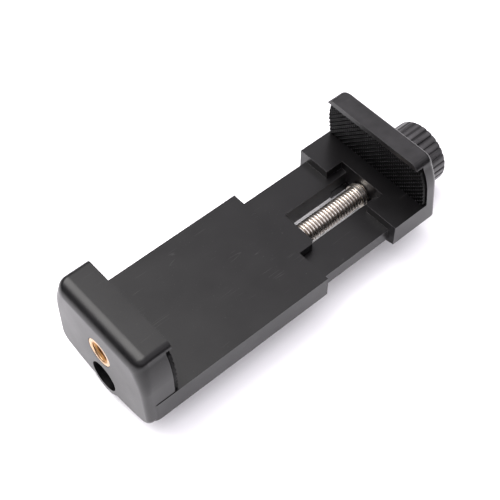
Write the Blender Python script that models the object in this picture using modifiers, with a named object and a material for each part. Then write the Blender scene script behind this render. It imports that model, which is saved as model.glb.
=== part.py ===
"""Screw-driven phone clamp with a tripod thread, lying on its back.

The fixed jaw and the plate are one shell. A forked arm slides in the shell and carries the
moving jaw. A lead screw, held in the moving jaw and turned by a knob, runs through a nut in
the shell. Everything is drawn in a clamp frame: x runs along the screw from the fixed jaw's
end face, y across, and z up from the screw's axis. The clamp frame is then stood on the
ground, on the knob's rim, and centred.
"""

import math

import bmesh
import bpy
from mathutils import Matrix

MM = 0.001
GAP = 0.3 * MM
OVERSHOOT = 0.1 * MM

# Driving dimensions
OVERALL_LENGTH = 112.0 * MM
HALF_WIDTH = 18.25 * MM
PLATE_TOP = 6.5 * MM
SKIRT_BOTTOM = -0.3 * MM
JAW_TOP = 23.2 * MM
BODY_LENGTH = 57.8 * MM
KNOB_RADIUS = 9.3 * MM
SCREW_RADIUS = 3.0 * MM
CLOSING_TRAVEL = 23.8 * MM
OPENING_TRAVEL = 6.0 * MM

# Shell
SKIRT_WALL = 1.9 * MM
EDGE_CHAMFER = 0.4 * MM
PLATE_THICKNESS = 2.4 * MM
END_WALL = 3.0 * MM
END_CORNER = 2.8 * MM
BELLY_LIP = 0.8 * MM
BELLY_EDGE = 17.9 * MM
BELLY_KNEE = (11.0 * MM, -2.9 * MM)
BELLY_FLAT = -3.6 * MM
BELLY_RISE = 0.08 * MM
SPINE_RADIUS = 6.0 * MM
SPINE_WALL = 0.7 * MM
SPINE_FOOT = 6.3 * MM
END_HOLE_RADIUS = 4.45 * MM

# Jaws, shared by both
JAW_INSET = 0.15 * MM
JAW_SIDE_START = 12.7 * MM
JAW_SIDE_RADIUS = 20.8 * MM
JAW_TOP_CORNER = 1.9 * MM
LIP_BOTTOM = 21.6 * MM
SEAT_X = 8.3 * MM
FIXED_LIP_X = 10.1 * MM
TOP_FILLET = 3.8 * MM

# Pads
PAD_THICKNESS = 1.1 * MM
PAD_MARGIN = 0.5 * MM

# Nut, its boss and the tab over it
TAB_END = 63.3 * MM
TAB_HALF_WIDTH = 7.5 * MM
TAB_CORNER = 1.0 * MM
BOSS_START = 49.6 * MM
BOSS_END = 61.1 * MM
BOSS_RADIUS = 5.0 * MM
NUT_RADIUS = 4.0 * MM
NUT_POCKET_RADIUS = 4.2 * MM
NUT_SHOULDER = 1.0 * MM

# Slide arm and moving jaw
ARM_START = 34.0 * MM
ARM_HALF_WIDTH = 16.0 * MM
ARM_TOP = 3.8 * MM
ARM_BOTTOM = ((16.0 * MM, -0.2 * MM), (11.0 * MM, -1.3 * MM), (5.8 * MM, -2.6 * MM))
SLOT_HALF_WIDTH = 5.8 * MM
LEDGE_START = BODY_LENGTH + CLOSING_TRAVEL + GAP
NOTCH_END = 87.6 * MM
JAW_BACK = ((97.7 * MM, 3.8 * MM), (96.4 * MM, 14.3 * MM), (95.7 * MM, 22.2 * MM))
JAW_BACK_TOP = (94.9 * MM, 23.2 * MM)
MOVING_LIP_X = 89.5 * MM
MOVING_SEAT = ((93.7 * MM, 6.5 * MM), (91.9 * MM, 21.6 * MM))

# Tripod insert
INSERT_Z = 10.9 * MM
INSERT_RADIUS = 4.15 * MM
INSERT_HOLE = 2.75 * MM
INSERT_LENGTH = 7.0 * MM
INSERT_SINK = 0.05 * MM
INSERT_CHAMFER = 0.45 * MM

# Lead screw, collar, clip and washer
SCREW_TIP = 42.0 * MM
SCREW_HOLE_RADIUS = 3.4 * MM
HEAD_START = 101.5 * MM
HEAD_HEIGHT = 4.0 * MM
HEAD_RADIUS = 5.6 * MM
GROOVE_RADIUS = 2.3 * MM
RING_BORE = 2.6 * MM
CLIP_START = 42.9 * MM
CLIP_LENGTH = 0.8 * MM
CLIP_RADIUS = 3.7 * MM
COLLAR_START = 85.4 * MM
COLLAR_LENGTH = 1.8 * MM
COLLAR_RADIUS = 3.6 * MM
WASHER_START = 98.0 * MM
WASHER_LENGTH = 0.8 * MM
WASHER_RADIUS = 6.5 * MM

# Knob
KNOB_START = 98.5 * MM
RIB_COUNT = 28
RIB_DEPTH = 0.45 * MM
CAP_START = 109.3 * MM
CAP_RADIUS = 7.2 * MM
PLUG_RADIUS = 4.6 * MM
KNOB_SOFT_EDGE = 0.9 * MM

# Cover screws
SCREW_HEAD_RADIUS = 2.1 * MM
SCREW_HEAD_DEPTH = 1.0 * MM
SCREW_SHANK_RADIUS = 1.1 * MM
SCREW_LENGTH = 5.6 * MM
COVER_SCREW_X = 6.6 * MM
COVER_SCREW_Y = 11.5 * MM
COVER_SCREW_FACE = -2.75 * MM
RECESS_LENGTH = 2.4 * MM
RECESS_WIDTH = 0.5 * MM
RECESS_DEPTH = 0.5 * MM
JAW_COVER_SCREW_X = 92.6 * MM
POST_RADIUS = 2.6 * MM
POST_FOOT = -0.6 * MM
PILOT_RADIUS = 1.3 * MM
PILOT_END = 4.6 * MM

# How an outline's own (u, v) plane and its thickness lie in the clamp frame
ALONG_X = Matrix(((0, 0, 1, 0), (1, 0, 0, 0), (0, 1, 0, 0), (0, 0, 0, 1)))
ALONG_Y = Matrix(((1, 0, 0, 0), (0, 0, -1, 0), (0, 1, 0, 0), (0, 0, 0, 1)))
ALONG_Z = Matrix.Identity(4)


# --- Scene, materials and modelling helpers ---------------------------------------------


def empty_scene():
    for item in list(bpy.data.objects):
        bpy.data.objects.remove(item, do_unlink=True)


def new_collection(name):
    collection = bpy.data.collections.new(name)
    bpy.context.scene.collection.children.link(collection)
    return collection


def material(name, colour, roughness, metallic=0.0):
    made = bpy.data.materials.new(name)
    made.use_nodes = True
    shader = made.node_tree.nodes["Principled BSDF"]
    shader.inputs["Base Color"].default_value = (*colour, 1.0)
    shader.inputs["Roughness"].default_value = roughness
    shader.inputs["Metallic"].default_value = metallic
    return made


def mesh_object(name, mesh, collection):
    made = bpy.data.objects.new(name, mesh)
    collection.objects.link(made)
    return made


def tidied(mesh):
    """Welds a mesh, joins its coplanar faces and points them outwards."""
    work = bmesh.new()
    work.from_mesh(mesh)
    bmesh.ops.remove_doubles(work, verts=work.verts, dist=1e-6)
    bmesh.ops.dissolve_limit(work, angle_limit=math.radians(0.5), verts=work.verts, edges=work.edges)
    bmesh.ops.recalc_face_normals(work, faces=work.faces)
    work.to_mesh(mesh)
    work.free()
    return mesh


def prism(name, outline, low, high, lie, collection):
    """A solid of one flat outline, from low to high along the direction that lie gives."""
    curve = bpy.data.curves.new(name, "CURVE")
    curve.dimensions = "2D"
    curve.fill_mode = "BOTH"
    curve.extrude = (high - low) / 2
    spline = curve.splines.new("POLY")
    spline.points.add(len(outline) - 1)
    for point, (u, v) in zip(spline.points, outline):
        point.co = (u, v, 0, 1)
    spline.use_cyclic_u = True
    drawn = mesh_object(name, curve, bpy.context.scene.collection)
    shown = drawn.evaluated_get(bpy.context.evaluated_depsgraph_get())
    mesh = bpy.data.meshes.new_from_object(shown)
    bpy.data.objects.remove(drawn)
    bpy.data.curves.remove(curve)
    mesh.transform(lie @ Matrix.Translation((0, 0, (low + high) / 2)))
    mesh.name = name
    return mesh_object(name, tidied(mesh), collection)


def turned(name, profile, collection, steps=32, closed=False):
    """A solid turned about the x axis from (x, radius) points, listed from low x to high x.

    A closed profile is a ring's section: its outer points, then its inner ones backwards.
    """
    section = profile if closed else [(profile[0][0], 0.0), *profile, (profile[-1][0], 0.0)]
    mesh = bpy.data.meshes.new(name)
    work = bmesh.new()
    dots = [work.verts.new((radius, 0, -x)) for x, radius in section]
    for first, second in zip(dots, dots[1:]):
        work.edges.new((first, second))
    if closed:
        work.edges.new((dots[-1], dots[0]))
    work.to_mesh(mesh)
    work.free()
    made = mesh_object(name, mesh, bpy.context.scene.collection)
    screw = made.modifiers.new("turn", "SCREW")
    screw.steps = screw.render_steps = steps
    screw.use_merge_vertices = True
    screw.merge_threshold = 1e-6
    shown = made.evaluated_get(bpy.context.evaluated_depsgraph_get())
    solid = bpy.data.meshes.new_from_object(shown)
    bpy.data.objects.remove(made)
    solid.transform(Matrix.Rotation(-math.pi / 2, 4, "Y"))
    solid.name = name
    made = mesh_object(name, tidied(solid), collection)
    made.data.shade_smooth()
    made.data.set_sharp_from_angle(angle=math.radians(35))
    return made


def plain_ring(name, start, length, radius, bore, parts):
    end = start + length
    section = [(start, radius), (end, radius), (end, bore), (start, bore)]
    return turned(name, section, parts, closed=True)


def combine(target, other, operation):
    """Adds a Boolean of the other solid, which becomes a hidden helper."""
    step = target.modifiers.new(other.name, "BOOLEAN")
    step.operation = operation
    step.object = other
    step.solver = "EXACT"
    other.hide_render = True
    other.display_type = "WIRE"


def box(name, low, high, collection):
    bpy.ops.mesh.primitive_cube_add(size=1)
    made = bpy.context.object
    made.name = made.data.name = name
    size = [b - a for a, b in zip(low, high)]
    middle = [(a + b) / 2 for a, b in zip(low, high)]
    made.data.transform(Matrix.Translation(middle) @ Matrix.Diagonal((*size, 1)))
    for home in list(made.users_collection):
        home.objects.unlink(made)
    collection.objects.link(made)
    return made


def arc(centre, radius, start, end, steps):
    """Points on a circle, from start to end in degrees."""
    angles = [math.radians(start + (end - start) * i / steps) for i in range(steps + 1)]
    return [(centre[0] + radius * math.cos(a), centre[1] + radius * math.sin(a)) for a in angles]


def mirrored(half):
    """A closed outline from its right half, listed from bottom to top."""
    return half + [(-u, v) for u, v in reversed(half) if u > 1e-9]


# --- Outlines ---------------------------------------------------------------------------


def spine_half(radius, level):
    """The lower right quarter of the spine, from its bottom up to a level."""
    top = math.degrees(math.asin(level / radius))
    return arc((0, 0), radius, -90, top, 6)


def jaw_side(inset=0.0, top=JAW_TOP):
    """The jaws' right side: upright, then leaning in along a large arc, with a round corner."""
    side = HALF_WIDTH - inset
    centre = (side - JAW_SIDE_RADIUS, JAW_SIDE_START)
    reach = top - JAW_TOP_CORNER - JAW_SIDE_START
    lean = math.degrees(math.asin(reach / JAW_SIDE_RADIUS))
    leaning = arc(centre, JAW_SIDE_RADIUS, 0, lean, 5)
    corner = (leaning[-1][0] - JAW_TOP_CORNER, leaning[-1][1])
    return leaning + arc(corner, JAW_TOP_CORNER, 0, 90, 3)[1:]


def belly_half():
    """The underside's right half, from the spine's bottom out to the skirt."""
    return spine_half(SPINE_RADIUS, BELLY_FLAT) + [
        (SPINE_FOOT, BELLY_FLAT + BELLY_RISE),
        BELLY_KNEE,
        (BELLY_EDGE, SKIRT_BOTTOM - BELLY_LIP),
    ]


def front_outline(bottom_half, inset=0.0):
    """A jaw seen along the screw, drawn a little over its top so that only its sides cut."""
    return mirrored(bottom_half + jaw_side(inset, JAW_TOP + OVERSHOOT))


def cover_outline(hollow):
    """The belly cover's section: hollow over the body, solid under the moving jaw."""
    top = SKIRT_BOTTOM - GAP
    outer = belly_half() + [(BELLY_EDGE, top)]
    if not hollow:
        return mirrored(outer)
    (edge, edge_z), (knee, knee_z), (slot, slot_z) = ARM_BOTTOM
    inner = [(slot, slot_z - GAP), (knee, knee_z - GAP), (edge + GAP, top)]
    inside = spine_half(SPINE_RADIUS - SPINE_WALL, slot_z - GAP) + inner
    right = outer + inside[::-1]
    return right + [(-u, v) for u, v in reversed(right) if u > 1e-9]


def fixed_jaw_profile():
    """The end wall and the fixed jaw from the side, with the jaw's overhanging lip."""
    below = -SPINE_RADIUS - MM
    fillet = arc((TOP_FILLET, JAW_TOP - TOP_FILLET), TOP_FILLET, 180, 90, 6)
    inside_plate = PLATE_TOP - MM
    return (
        [(0, below)]
        + fillet
        + [
            (FIXED_LIP_X - EDGE_CHAMFER, JAW_TOP),
            (FIXED_LIP_X, JAW_TOP - EDGE_CHAMFER),
            (FIXED_LIP_X, LIP_BOTTOM),
            (SEAT_X, LIP_BOTTOM),
            (SEAT_X, inside_plate),
            (END_WALL, inside_plate),
            (END_WALL, below),
        ]
    )


def moving_jaw_profile():
    """The moving jaw from the side: base with its ledge, leaning wall and lip."""
    seat_bottom, seat_top = MOVING_SEAT
    return [
        (LEDGE_START, SKIRT_BOTTOM),
        (LEDGE_START, PLATE_TOP),
        seat_bottom,
        seat_top,
        (MOVING_LIP_X, LIP_BOTTOM),
        (MOVING_LIP_X, JAW_TOP - EDGE_CHAMFER),
        (MOVING_LIP_X + EDGE_CHAMFER, JAW_TOP),
        JAW_BACK_TOP,
        *reversed(JAW_BACK),
        (JAW_BACK[0][0], SKIRT_BOTTOM),
    ]


def rounded_plan(start, half_width, rest):
    """A plan with its two corners at the end face rounded; rest is its far half, outwards in."""
    near = arc((start + END_CORNER, -half_width + END_CORNER), END_CORNER, 180, 270, 4)
    right = near + rest
    return right + [(u, -v) for u, v in reversed(right)]


def plate_plan():
    """The plate with the tab at its open end."""
    rest = [
        (BODY_LENGTH, -HALF_WIDTH),
        (BODY_LENGTH, -TAB_HALF_WIDTH),
        (TAB_END - TAB_CORNER, -TAB_HALF_WIDTH),
        (TAB_END, -TAB_HALF_WIDTH + TAB_CORNER),
    ]
    return rounded_plan(END_WALL / 6, HALF_WIDTH, rest)


# --- Fixed body -------------------------------------------------------------------------


def screw_post_hole(name, x, y, cutters):
    """A blind pilot hole, open at its foot, for a self-tapping screw."""
    start = POST_FOOT - MM
    hole = turned(name, [(start, PILOT_RADIUS), (PILOT_END, PILOT_RADIUS)], cutters, 12)
    hole.data.transform(Matrix.Translation((x, y, 0)) @ Matrix.Rotation(-math.pi / 2, 4, "Y"))
    return hole


def fixed_jaw(cutters):
    """The end wall and the jaw: their side profile, kept inside their front and their plan."""
    wide = HALF_WIDTH + MM
    jaw = prism("jaw_profile", fixed_jaw_profile(), -wide, wide, ALONG_Y, cutters)
    foot = belly_half() + [(HALF_WIDTH - JAW_INSET, SKIRT_BOTTOM)]
    outline = front_outline(foot, JAW_INSET)
    combine(jaw, prism("jaw_front", outline, -MM, FIXED_LIP_X + MM, ALONG_X, cutters), "INTERSECT")
    side = HALF_WIDTH - JAW_INSET + OVERSHOOT / 2
    plan = rounded_plan(0, side, [(FIXED_LIP_X + 2 * MM, -side)])
    tall = JAW_TOP + MM
    combine(jaw, prism("jaw_plan", plan, -tall, tall, ALONG_Z, cutters), "INTERSECT")
    return jaw


def body_shell(parts, cutters):
    shell = prism("body_shell", plate_plan(), SKIRT_BOTTOM, PLATE_TOP, ALONG_Z, parts)
    ceiling = PLATE_TOP - PLATE_THICKNESS
    inner = HALF_WIDTH - SKIRT_WALL
    channel = box("channel", (-MM, -inner, -MM), (TAB_END + MM, inner, ceiling), cutters)
    combine(shell, channel, "DIFFERENCE")
    combine(shell, fixed_jaw(cutters), "UNION")
    boss_outline = arc((0, 0), BOSS_RADIUS, -180, 0, 12) + [
        (BOSS_RADIUS, ceiling + MM),
        (-BOSS_RADIUS, ceiling + MM),
    ]
    boss = prism("boss", boss_outline, BOSS_START, BOSS_END, ALONG_X, cutters)
    combine(shell, boss, "UNION")
    for side in (-1, 1):
        post = turned(f"post_{side}", [(POST_FOOT, POST_RADIUS), (ceiling + MM, POST_RADIUS)], cutters, 16)
        stand = Matrix.Translation((COVER_SCREW_X, side * COVER_SCREW_Y, 0))
        post.data.transform(stand @ Matrix.Rotation(-math.pi / 2, 4, "Y"))
        combine(shell, post, "UNION")
        hole = screw_post_hole(f"post_hole_{side}", COVER_SCREW_X, side * COVER_SCREW_Y, cutters)
        combine(shell, hole, "DIFFERENCE")
    pocket_end = BOSS_END - NUT_SHOULDER
    bores = {
        "end_hole": ([(-MM, END_HOLE_RADIUS), (END_WALL + MM, END_HOLE_RADIUS)], 0),
        "insert_pocket": (
            [(-MM, INSERT_RADIUS + GAP), (INSERT_LENGTH + GAP, INSERT_RADIUS + GAP)],
            INSERT_Z,
        ),
        "nut_pocket": (
            [
                (BOSS_START - MM, NUT_POCKET_RADIUS),
                (pocket_end, NUT_POCKET_RADIUS),
                (pocket_end, SCREW_HOLE_RADIUS),
                (BOSS_END + MM, SCREW_HOLE_RADIUS),
            ],
            0,
        ),
    }
    for name, (profile, height) in bores.items():
        bore = turned(name, profile, cutters)
        bore.data.transform(Matrix.Translation((0, 0, height)))
        combine(shell, bore, "DIFFERENCE")
    return shell


def bottom_cover(parts, cutters):
    cover = prism(
        "bottom_cover", cover_outline(True), END_WALL + GAP, BODY_LENGTH, ALONG_X, parts
    )
    for side in (-1, 1):
        seat = screw_seat(f"cover_seat_{side}", COVER_SCREW_X, side * COVER_SCREW_Y, cutters)
        combine(cover, seat, "DIFFERENCE")
    return cover


def screw_seat(name, x, y, cutters):
    """A countersunk hole for a cover screw, wider than the screw by the gap."""
    face = COVER_SCREW_FACE
    profile = [
        (face - 3 * MM, SCREW_HEAD_RADIUS + GAP),
        (face, SCREW_HEAD_RADIUS + GAP),
        (face + SCREW_HEAD_DEPTH, SCREW_SHANK_RADIUS + GAP),
        (face + 5 * MM, SCREW_SHANK_RADIUS + GAP),
    ]
    seat = turned(name, profile, cutters, 16)
    seat.data.transform(Matrix.Translation((x, y, 0)) @ Matrix.Rotation(-math.pi / 2, 4, "Y"))
    return seat


def self_tapping_screw(name, x, y, parts, cutters):
    """A countersunk screw, point up, with a cross recess in its head."""
    face = COVER_SCREW_FACE
    tip = face + SCREW_LENGTH
    profile = [
        (face, SCREW_HEAD_RADIUS),
        (face + SCREW_HEAD_DEPTH, SCREW_SHANK_RADIUS),
        (tip - MM, SCREW_SHANK_RADIUS),
        (tip, 0.3 * MM),
    ]
    screw = turned(name, profile, parts, 16)
    screw.data.transform(Matrix.Translation((x, y, 0)) @ Matrix.Rotation(-math.pi / 2, 4, "Y"))
    long, wide = RECESS_LENGTH / 2, RECESS_WIDTH / 2
    for turn, (dx, dy) in enumerate(((long, wide), (wide, long))):
        low = (x - dx, y - dy, face - MM)
        high = (x + dx, y + dy, face + RECESS_DEPTH)
        combine(screw, box(f"{name}_recess_{turn}", low, high, cutters), "DIFFERENCE")
    return screw


def tripod_insert(parts):
    """A brass sleeve with its mouth chamfered, flush with the end face."""
    outer = [(INSERT_SINK, INSERT_RADIUS), (INSERT_LENGTH, INSERT_RADIUS)]
    inner = [
        (INSERT_LENGTH, INSERT_HOLE),
        (INSERT_SINK + INSERT_CHAMFER, INSERT_HOLE),
        (INSERT_SINK, INSERT_HOLE + INSERT_CHAMFER),
    ]
    sleeve = turned("tripod_insert", outer + inner, parts, closed=True)
    sleeve.data.transform(Matrix.Translation((0, 0, INSERT_Z)))
    return sleeve


def jaw_pad(name, foot, lean, height, parts):
    """A rubber pad standing on the plate: foot is its back edge, lean tips its top to -x."""
    side = [(u, v - PLATE_TOP) for u, v in jaw_side(PAD_MARGIN, PLATE_TOP + height + GAP)]
    outline = mirrored([(HALF_WIDTH - PAD_MARGIN, GAP)] + side)
    pad = prism(name, outline, 0, PAD_THICKNESS, ALONG_X, parts)
    pad.data.transform(Matrix.Translation((foot, 0, PLATE_TOP)) @ Matrix.Rotation(-lean, 4, "Y"))
    return pad


def screw_nut(parts):
    """A sleeve from its shoulder in the boss back to where the end clip stops when open."""
    start = CLIP_START + CLIP_LENGTH + OPENING_TRAVEL + GAP
    length = BOSS_END - NUT_SHOULDER - GAP - start
    return plain_ring("screw_nut", start, length, NUT_RADIUS, SCREW_RADIUS + GAP, parts)


# --- Moving jaw -------------------------------------------------------------------------


def slide_jaw(parts, cutters):
    jaw = prism(
        "slide_jaw", moving_jaw_profile(), -HALF_WIDTH - MM, HALF_WIDTH + MM, ALONG_Y, parts
    )
    outline = front_outline([(HALF_WIDTH, SKIRT_BOTTOM - MM)])
    front = prism("moving_front", outline, LEDGE_START - MM, OVERALL_LENGTH, ALONG_X, cutters)
    combine(jaw, front, "INTERSECT")
    arm_outline = mirrored(list(reversed(ARM_BOTTOM)) + [(ARM_HALF_WIDTH, ARM_TOP)])
    arm = prism("arm", arm_outline, ARM_START, LEDGE_START + 0.2 * MM, ALONG_X, cutters)
    combine(jaw, arm, "UNION")
    tall = 2 * SPINE_RADIUS
    slot_low = (ARM_START - MM, -SLOT_HALF_WIDTH, -tall)
    slot_high = (NOTCH_END, SLOT_HALF_WIDTH, tall)
    combine(jaw, box("slot", slot_low, slot_high, cutters), "DIFFERENCE")
    notch_low = (LEDGE_START - MM, -TAB_HALF_WIDTH - GAP, ARM_TOP)
    notch_high = (NOTCH_END, TAB_HALF_WIDTH + GAP, tall)
    combine(jaw, box("notch", notch_low, notch_high, cutters), "DIFFERENCE")
    combine(jaw, screw_bore("jaw_bore", cutters), "DIFFERENCE")
    for side in (-1, 1):
        y = side * COVER_SCREW_Y
        hole = screw_post_hole(f"jaw_hole_{side}", JAW_COVER_SCREW_X, y, cutters)
        combine(jaw, hole, "DIFFERENCE")
    return jaw


def screw_bore(name, cutters):
    clear = SCREW_RADIUS + GAP
    return turned(name, [(NOTCH_END - MM, clear), (WASHER_START + MM, clear)], cutters)


def jaw_cover(parts, cutters):
    start = LEDGE_START + 0.5 * MM
    end = JAW_BACK[0][0]
    cover = prism("jaw_cover", cover_outline(False), start, end, ALONG_X, parts)
    slot_low = (start - MM, -SLOT_HALF_WIDTH, -2 * SPINE_RADIUS)
    slot_high = (NOTCH_END, SLOT_HALF_WIDTH, SPINE_RADIUS)
    combine(cover, box("cover_slot", slot_low, slot_high, cutters), "DIFFERENCE")
    combine(cover, screw_bore("cover_bore", cutters), "DIFFERENCE")
    for side in (-1, 1):
        y = side * COVER_SCREW_Y
        seat = screw_seat(f"jaw_cover_seat_{side}", JAW_COVER_SCREW_X, y, cutters)
        combine(cover, seat, "DIFFERENCE")
    return cover


# --- Lead screw and knob ----------------------------------------------------------------


def lead_screw(parts, cutters):
    """A rod with a chamfered tip, two ring grooves, and a hex head at its far end."""
    grooves = []
    for start, length in ((CLIP_START, CLIP_LENGTH), (COLLAR_START, COLLAR_LENGTH)):
        low, high = start - GAP, start + length + GAP
        grooves += [
            (low, SCREW_RADIUS),
            (low, GROOVE_RADIUS),
            (high, GROOVE_RADIUS),
            (high, SCREW_RADIUS),
        ]
    profile = (
        [(SCREW_TIP, SCREW_RADIUS - 0.5 * MM), (SCREW_TIP + 0.4 * MM, SCREW_RADIUS - 0.05 * MM)]
        + grooves
        + [(HEAD_START + MM, SCREW_RADIUS)]
    )
    screw = turned("lead_screw", profile, parts)
    hexagon = arc((0, 0), HEAD_RADIUS, 0, 300, 5)
    head = prism("screw_head", hexagon, HEAD_START, HEAD_START + HEAD_HEIGHT, ALONG_X, cutters)
    combine(screw, head, "UNION")
    return screw


def thrust_collar(parts):
    """A ring with a groove round its middle, in the groove next to the jaw."""
    start, end, radius = COLLAR_START, COLLAR_START + COLLAR_LENGTH, COLLAR_RADIUS
    middle, waist = (start + end) / 2, 0.25 * MM
    outer = [
        (start, radius - 0.15 * MM),
        (start + 0.2 * MM, radius),
        (middle - 0.2 * MM, radius),
        (middle, radius - waist),
        (middle + 0.2 * MM, radius),
        (end - 0.2 * MM, radius),
        (end, radius - 0.15 * MM),
    ]
    inner = [(end, RING_BORE), (start, RING_BORE)]
    return turned("thrust_collar", outer + inner, parts, closed=True)


def ribbed_outline():
    """The knob's section: ribs with flat tops and narrow grooves between, one rib at the foot."""
    outline = []
    for rib in range(RIB_COUNT):
        middle = 360 * rib / RIB_COUNT
        for part, depth in ((-0.38, RIB_DEPTH), (-0.22, 0), (0.22, 0), (0.38, RIB_DEPTH)):
            angle = math.radians(middle + part * 360 / RIB_COUNT)
            radius = KNOB_RADIUS - depth
            outline.append((radius * math.cos(angle), radius * math.sin(angle)))
    foot = outline[0]
    spin = math.radians(-90) - math.atan2(foot[1], foot[0]) - math.radians(0.22 * 360 / RIB_COUNT)
    return [
        (u * math.cos(spin) - v * math.sin(spin), u * math.sin(spin) + v * math.cos(spin))
        for u, v in outline
    ]


def knob(parts, cutters):
    body = prism("knob", ribbed_outline(), KNOB_START, OVERALL_LENGTH, ALONG_X, parts)
    soft = KNOB_SOFT_EDGE
    wide = KNOB_RADIUS + OVERSHOOT / 10
    form = [
        (KNOB_START - MM, wide - EDGE_CHAMFER - MM),
        (KNOB_START + EDGE_CHAMFER, wide),
        (OVERALL_LENGTH - soft, wide),
        (OVERALL_LENGTH - 0.3 * soft, wide - 0.3 * soft),
        (OVERALL_LENGTH, wide - soft),
        (OVERALL_LENGTH + MM, wide - soft),
    ]
    combine(body, turned("knob_form", form, cutters, 56), "INTERSECT")
    web_end = HEAD_START - GAP
    hollow = [
        (KNOB_START - MM, WASHER_RADIUS + GAP),
        (WASHER_START + WASHER_LENGTH + GAP, WASHER_RADIUS + GAP),
        (WASHER_START + WASHER_LENGTH + GAP, SCREW_RADIUS + GAP),
        (web_end + MM, SCREW_RADIUS + GAP),
    ]
    combine(body, turned("knob_bore", hollow, cutters), "DIFFERENCE")
    hexagon = arc((0, 0), HEAD_RADIUS + 1.2 * GAP, 0, 300, 5)
    pocket = prism("head_pocket", hexagon, web_end, CAP_START, ALONG_X, cutters)
    combine(body, pocket, "DIFFERENCE")
    recess = [(CAP_START - GAP, CAP_RADIUS + GAP), (OVERALL_LENGTH + MM, CAP_RADIUS + GAP)]
    combine(body, turned("cap_recess", recess, cutters), "DIFFERENCE")
    return body


def knob_cap(parts):
    """A slightly domed disc with a plug that keeps the screw's head in its pocket."""
    end = OVERALL_LENGTH - 0.1 * MM
    profile = [
        (HEAD_START + HEAD_HEIGHT + GAP, PLUG_RADIUS),
        (CAP_START, PLUG_RADIUS),
        (CAP_START, CAP_RADIUS),
        (end - 0.7 * MM, CAP_RADIUS),
        (end - 0.3 * MM, CAP_RADIUS - 0.3 * MM),
        (end - 0.1 * MM, CAP_RADIUS - 1.4 * MM),
        (end, CAP_RADIUS - 4 * MM),
    ]
    return turned("knob_cap", profile, parts)


# --- Assembly ---------------------------------------------------------------------------


def frame_empty(name, parent, collection):
    empty = bpy.data.objects.new(name, None)
    collection.objects.link(empty)
    empty.parent = parent
    return empty


def build():
    empty_scene()
    parts = new_collection("phone_clamp")
    cutters = new_collection("cutters")
    cutters.hide_render = True
    black = material("black_plastic", (0.045, 0.044, 0.046), 0.5)
    rubber = material("black_rubber", (0.008, 0.008, 0.009), 0.75)
    brass = material("brass", (0.78, 0.56, 0.30), 0.3, 1.0)
    steel = material("nickel_plated_steel", (0.72, 0.69, 0.64), 0.28, 1.0)
    zinc = material("black_zinc_steel", (0.06, 0.06, 0.065), 0.4, 0.9)

    clamp = frame_empty("clamp_frame", None, parts)
    clamp.location = (-OVERALL_LENGTH / 2, 0, KNOB_RADIUS)
    slide = frame_empty("jaw_slide", clamp, parts)
    turn = frame_empty("knob_turn", slide, parts)

    seat_bottom, seat_top = MOVING_SEAT
    lean = math.atan2(seat_bottom[0] - seat_top[0], seat_top[1] - seat_bottom[1])
    pad_height = LIP_BOTTOM - PLATE_TOP - 2 * GAP
    moving_foot = seat_bottom[0] - GAP - PAD_THICKNESS

    fixed = [
        (body_shell(parts, cutters), black),
        (bottom_cover(parts, cutters), black),
        (tripod_insert(parts), brass),
        (jaw_pad("fixed_jaw_pad", SEAT_X + GAP, 0, pad_height, parts), rubber),
        (screw_nut(parts), brass),
    ]
    sliding = [
        (slide_jaw(parts, cutters), black),
        (jaw_pad("moving_jaw_pad", moving_foot, lean, pad_height, parts), rubber),
        (jaw_cover(parts, cutters), black),
    ]
    for number, side in enumerate((-1, 1), start=1):
        y = side * COVER_SCREW_Y
        name = f"cover_screw_{number}"
        fixed.append((self_tapping_screw(name, COVER_SCREW_X, y, parts, cutters), zinc))
        name = f"jaw_cover_screw_{number}"
        sliding.append((self_tapping_screw(name, JAW_COVER_SCREW_X, y, parts, cutters), zinc))
    turning = [
        (lead_screw(parts, cutters), steel),
        (thrust_collar(parts), steel),
        (
            plain_ring(
                "thrust_washer", WASHER_START, WASHER_LENGTH, WASHER_RADIUS, SCREW_RADIUS + GAP, parts
            ),
            steel,
        ),
        (plain_ring("screw_end_clip", CLIP_START, CLIP_LENGTH, CLIP_RADIUS, RING_BORE, parts), steel),
        (knob(parts, cutters), black),
        (knob_cap(parts), black),
    ]
    for parent, pieces in ((clamp, fixed), (slide, sliding), (turn, turning)):
        for piece, finish in pieces:
            piece.parent = parent
            piece.data.materials.clear()
            piece.data.materials.append(finish)
    for helper in cutters.objects:
        helper.parent = clamp


build()
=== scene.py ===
# %% [markdown]
# # A screw clamp for a phone, told piece by piece
# The object is a small black clamp that holds a phone on a tripod. A plate with a fixed jaw
# carries a forked arm with the moving jaw, and a lead screw with a ribbed knob pulls the two
# jaws together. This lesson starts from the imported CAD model, which settles every size and
# every joint, and then gives each piece the surface that the real one has.

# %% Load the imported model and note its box
import math

import bmesh
import bpy
from mathutils import Matrix, Vector


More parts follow.
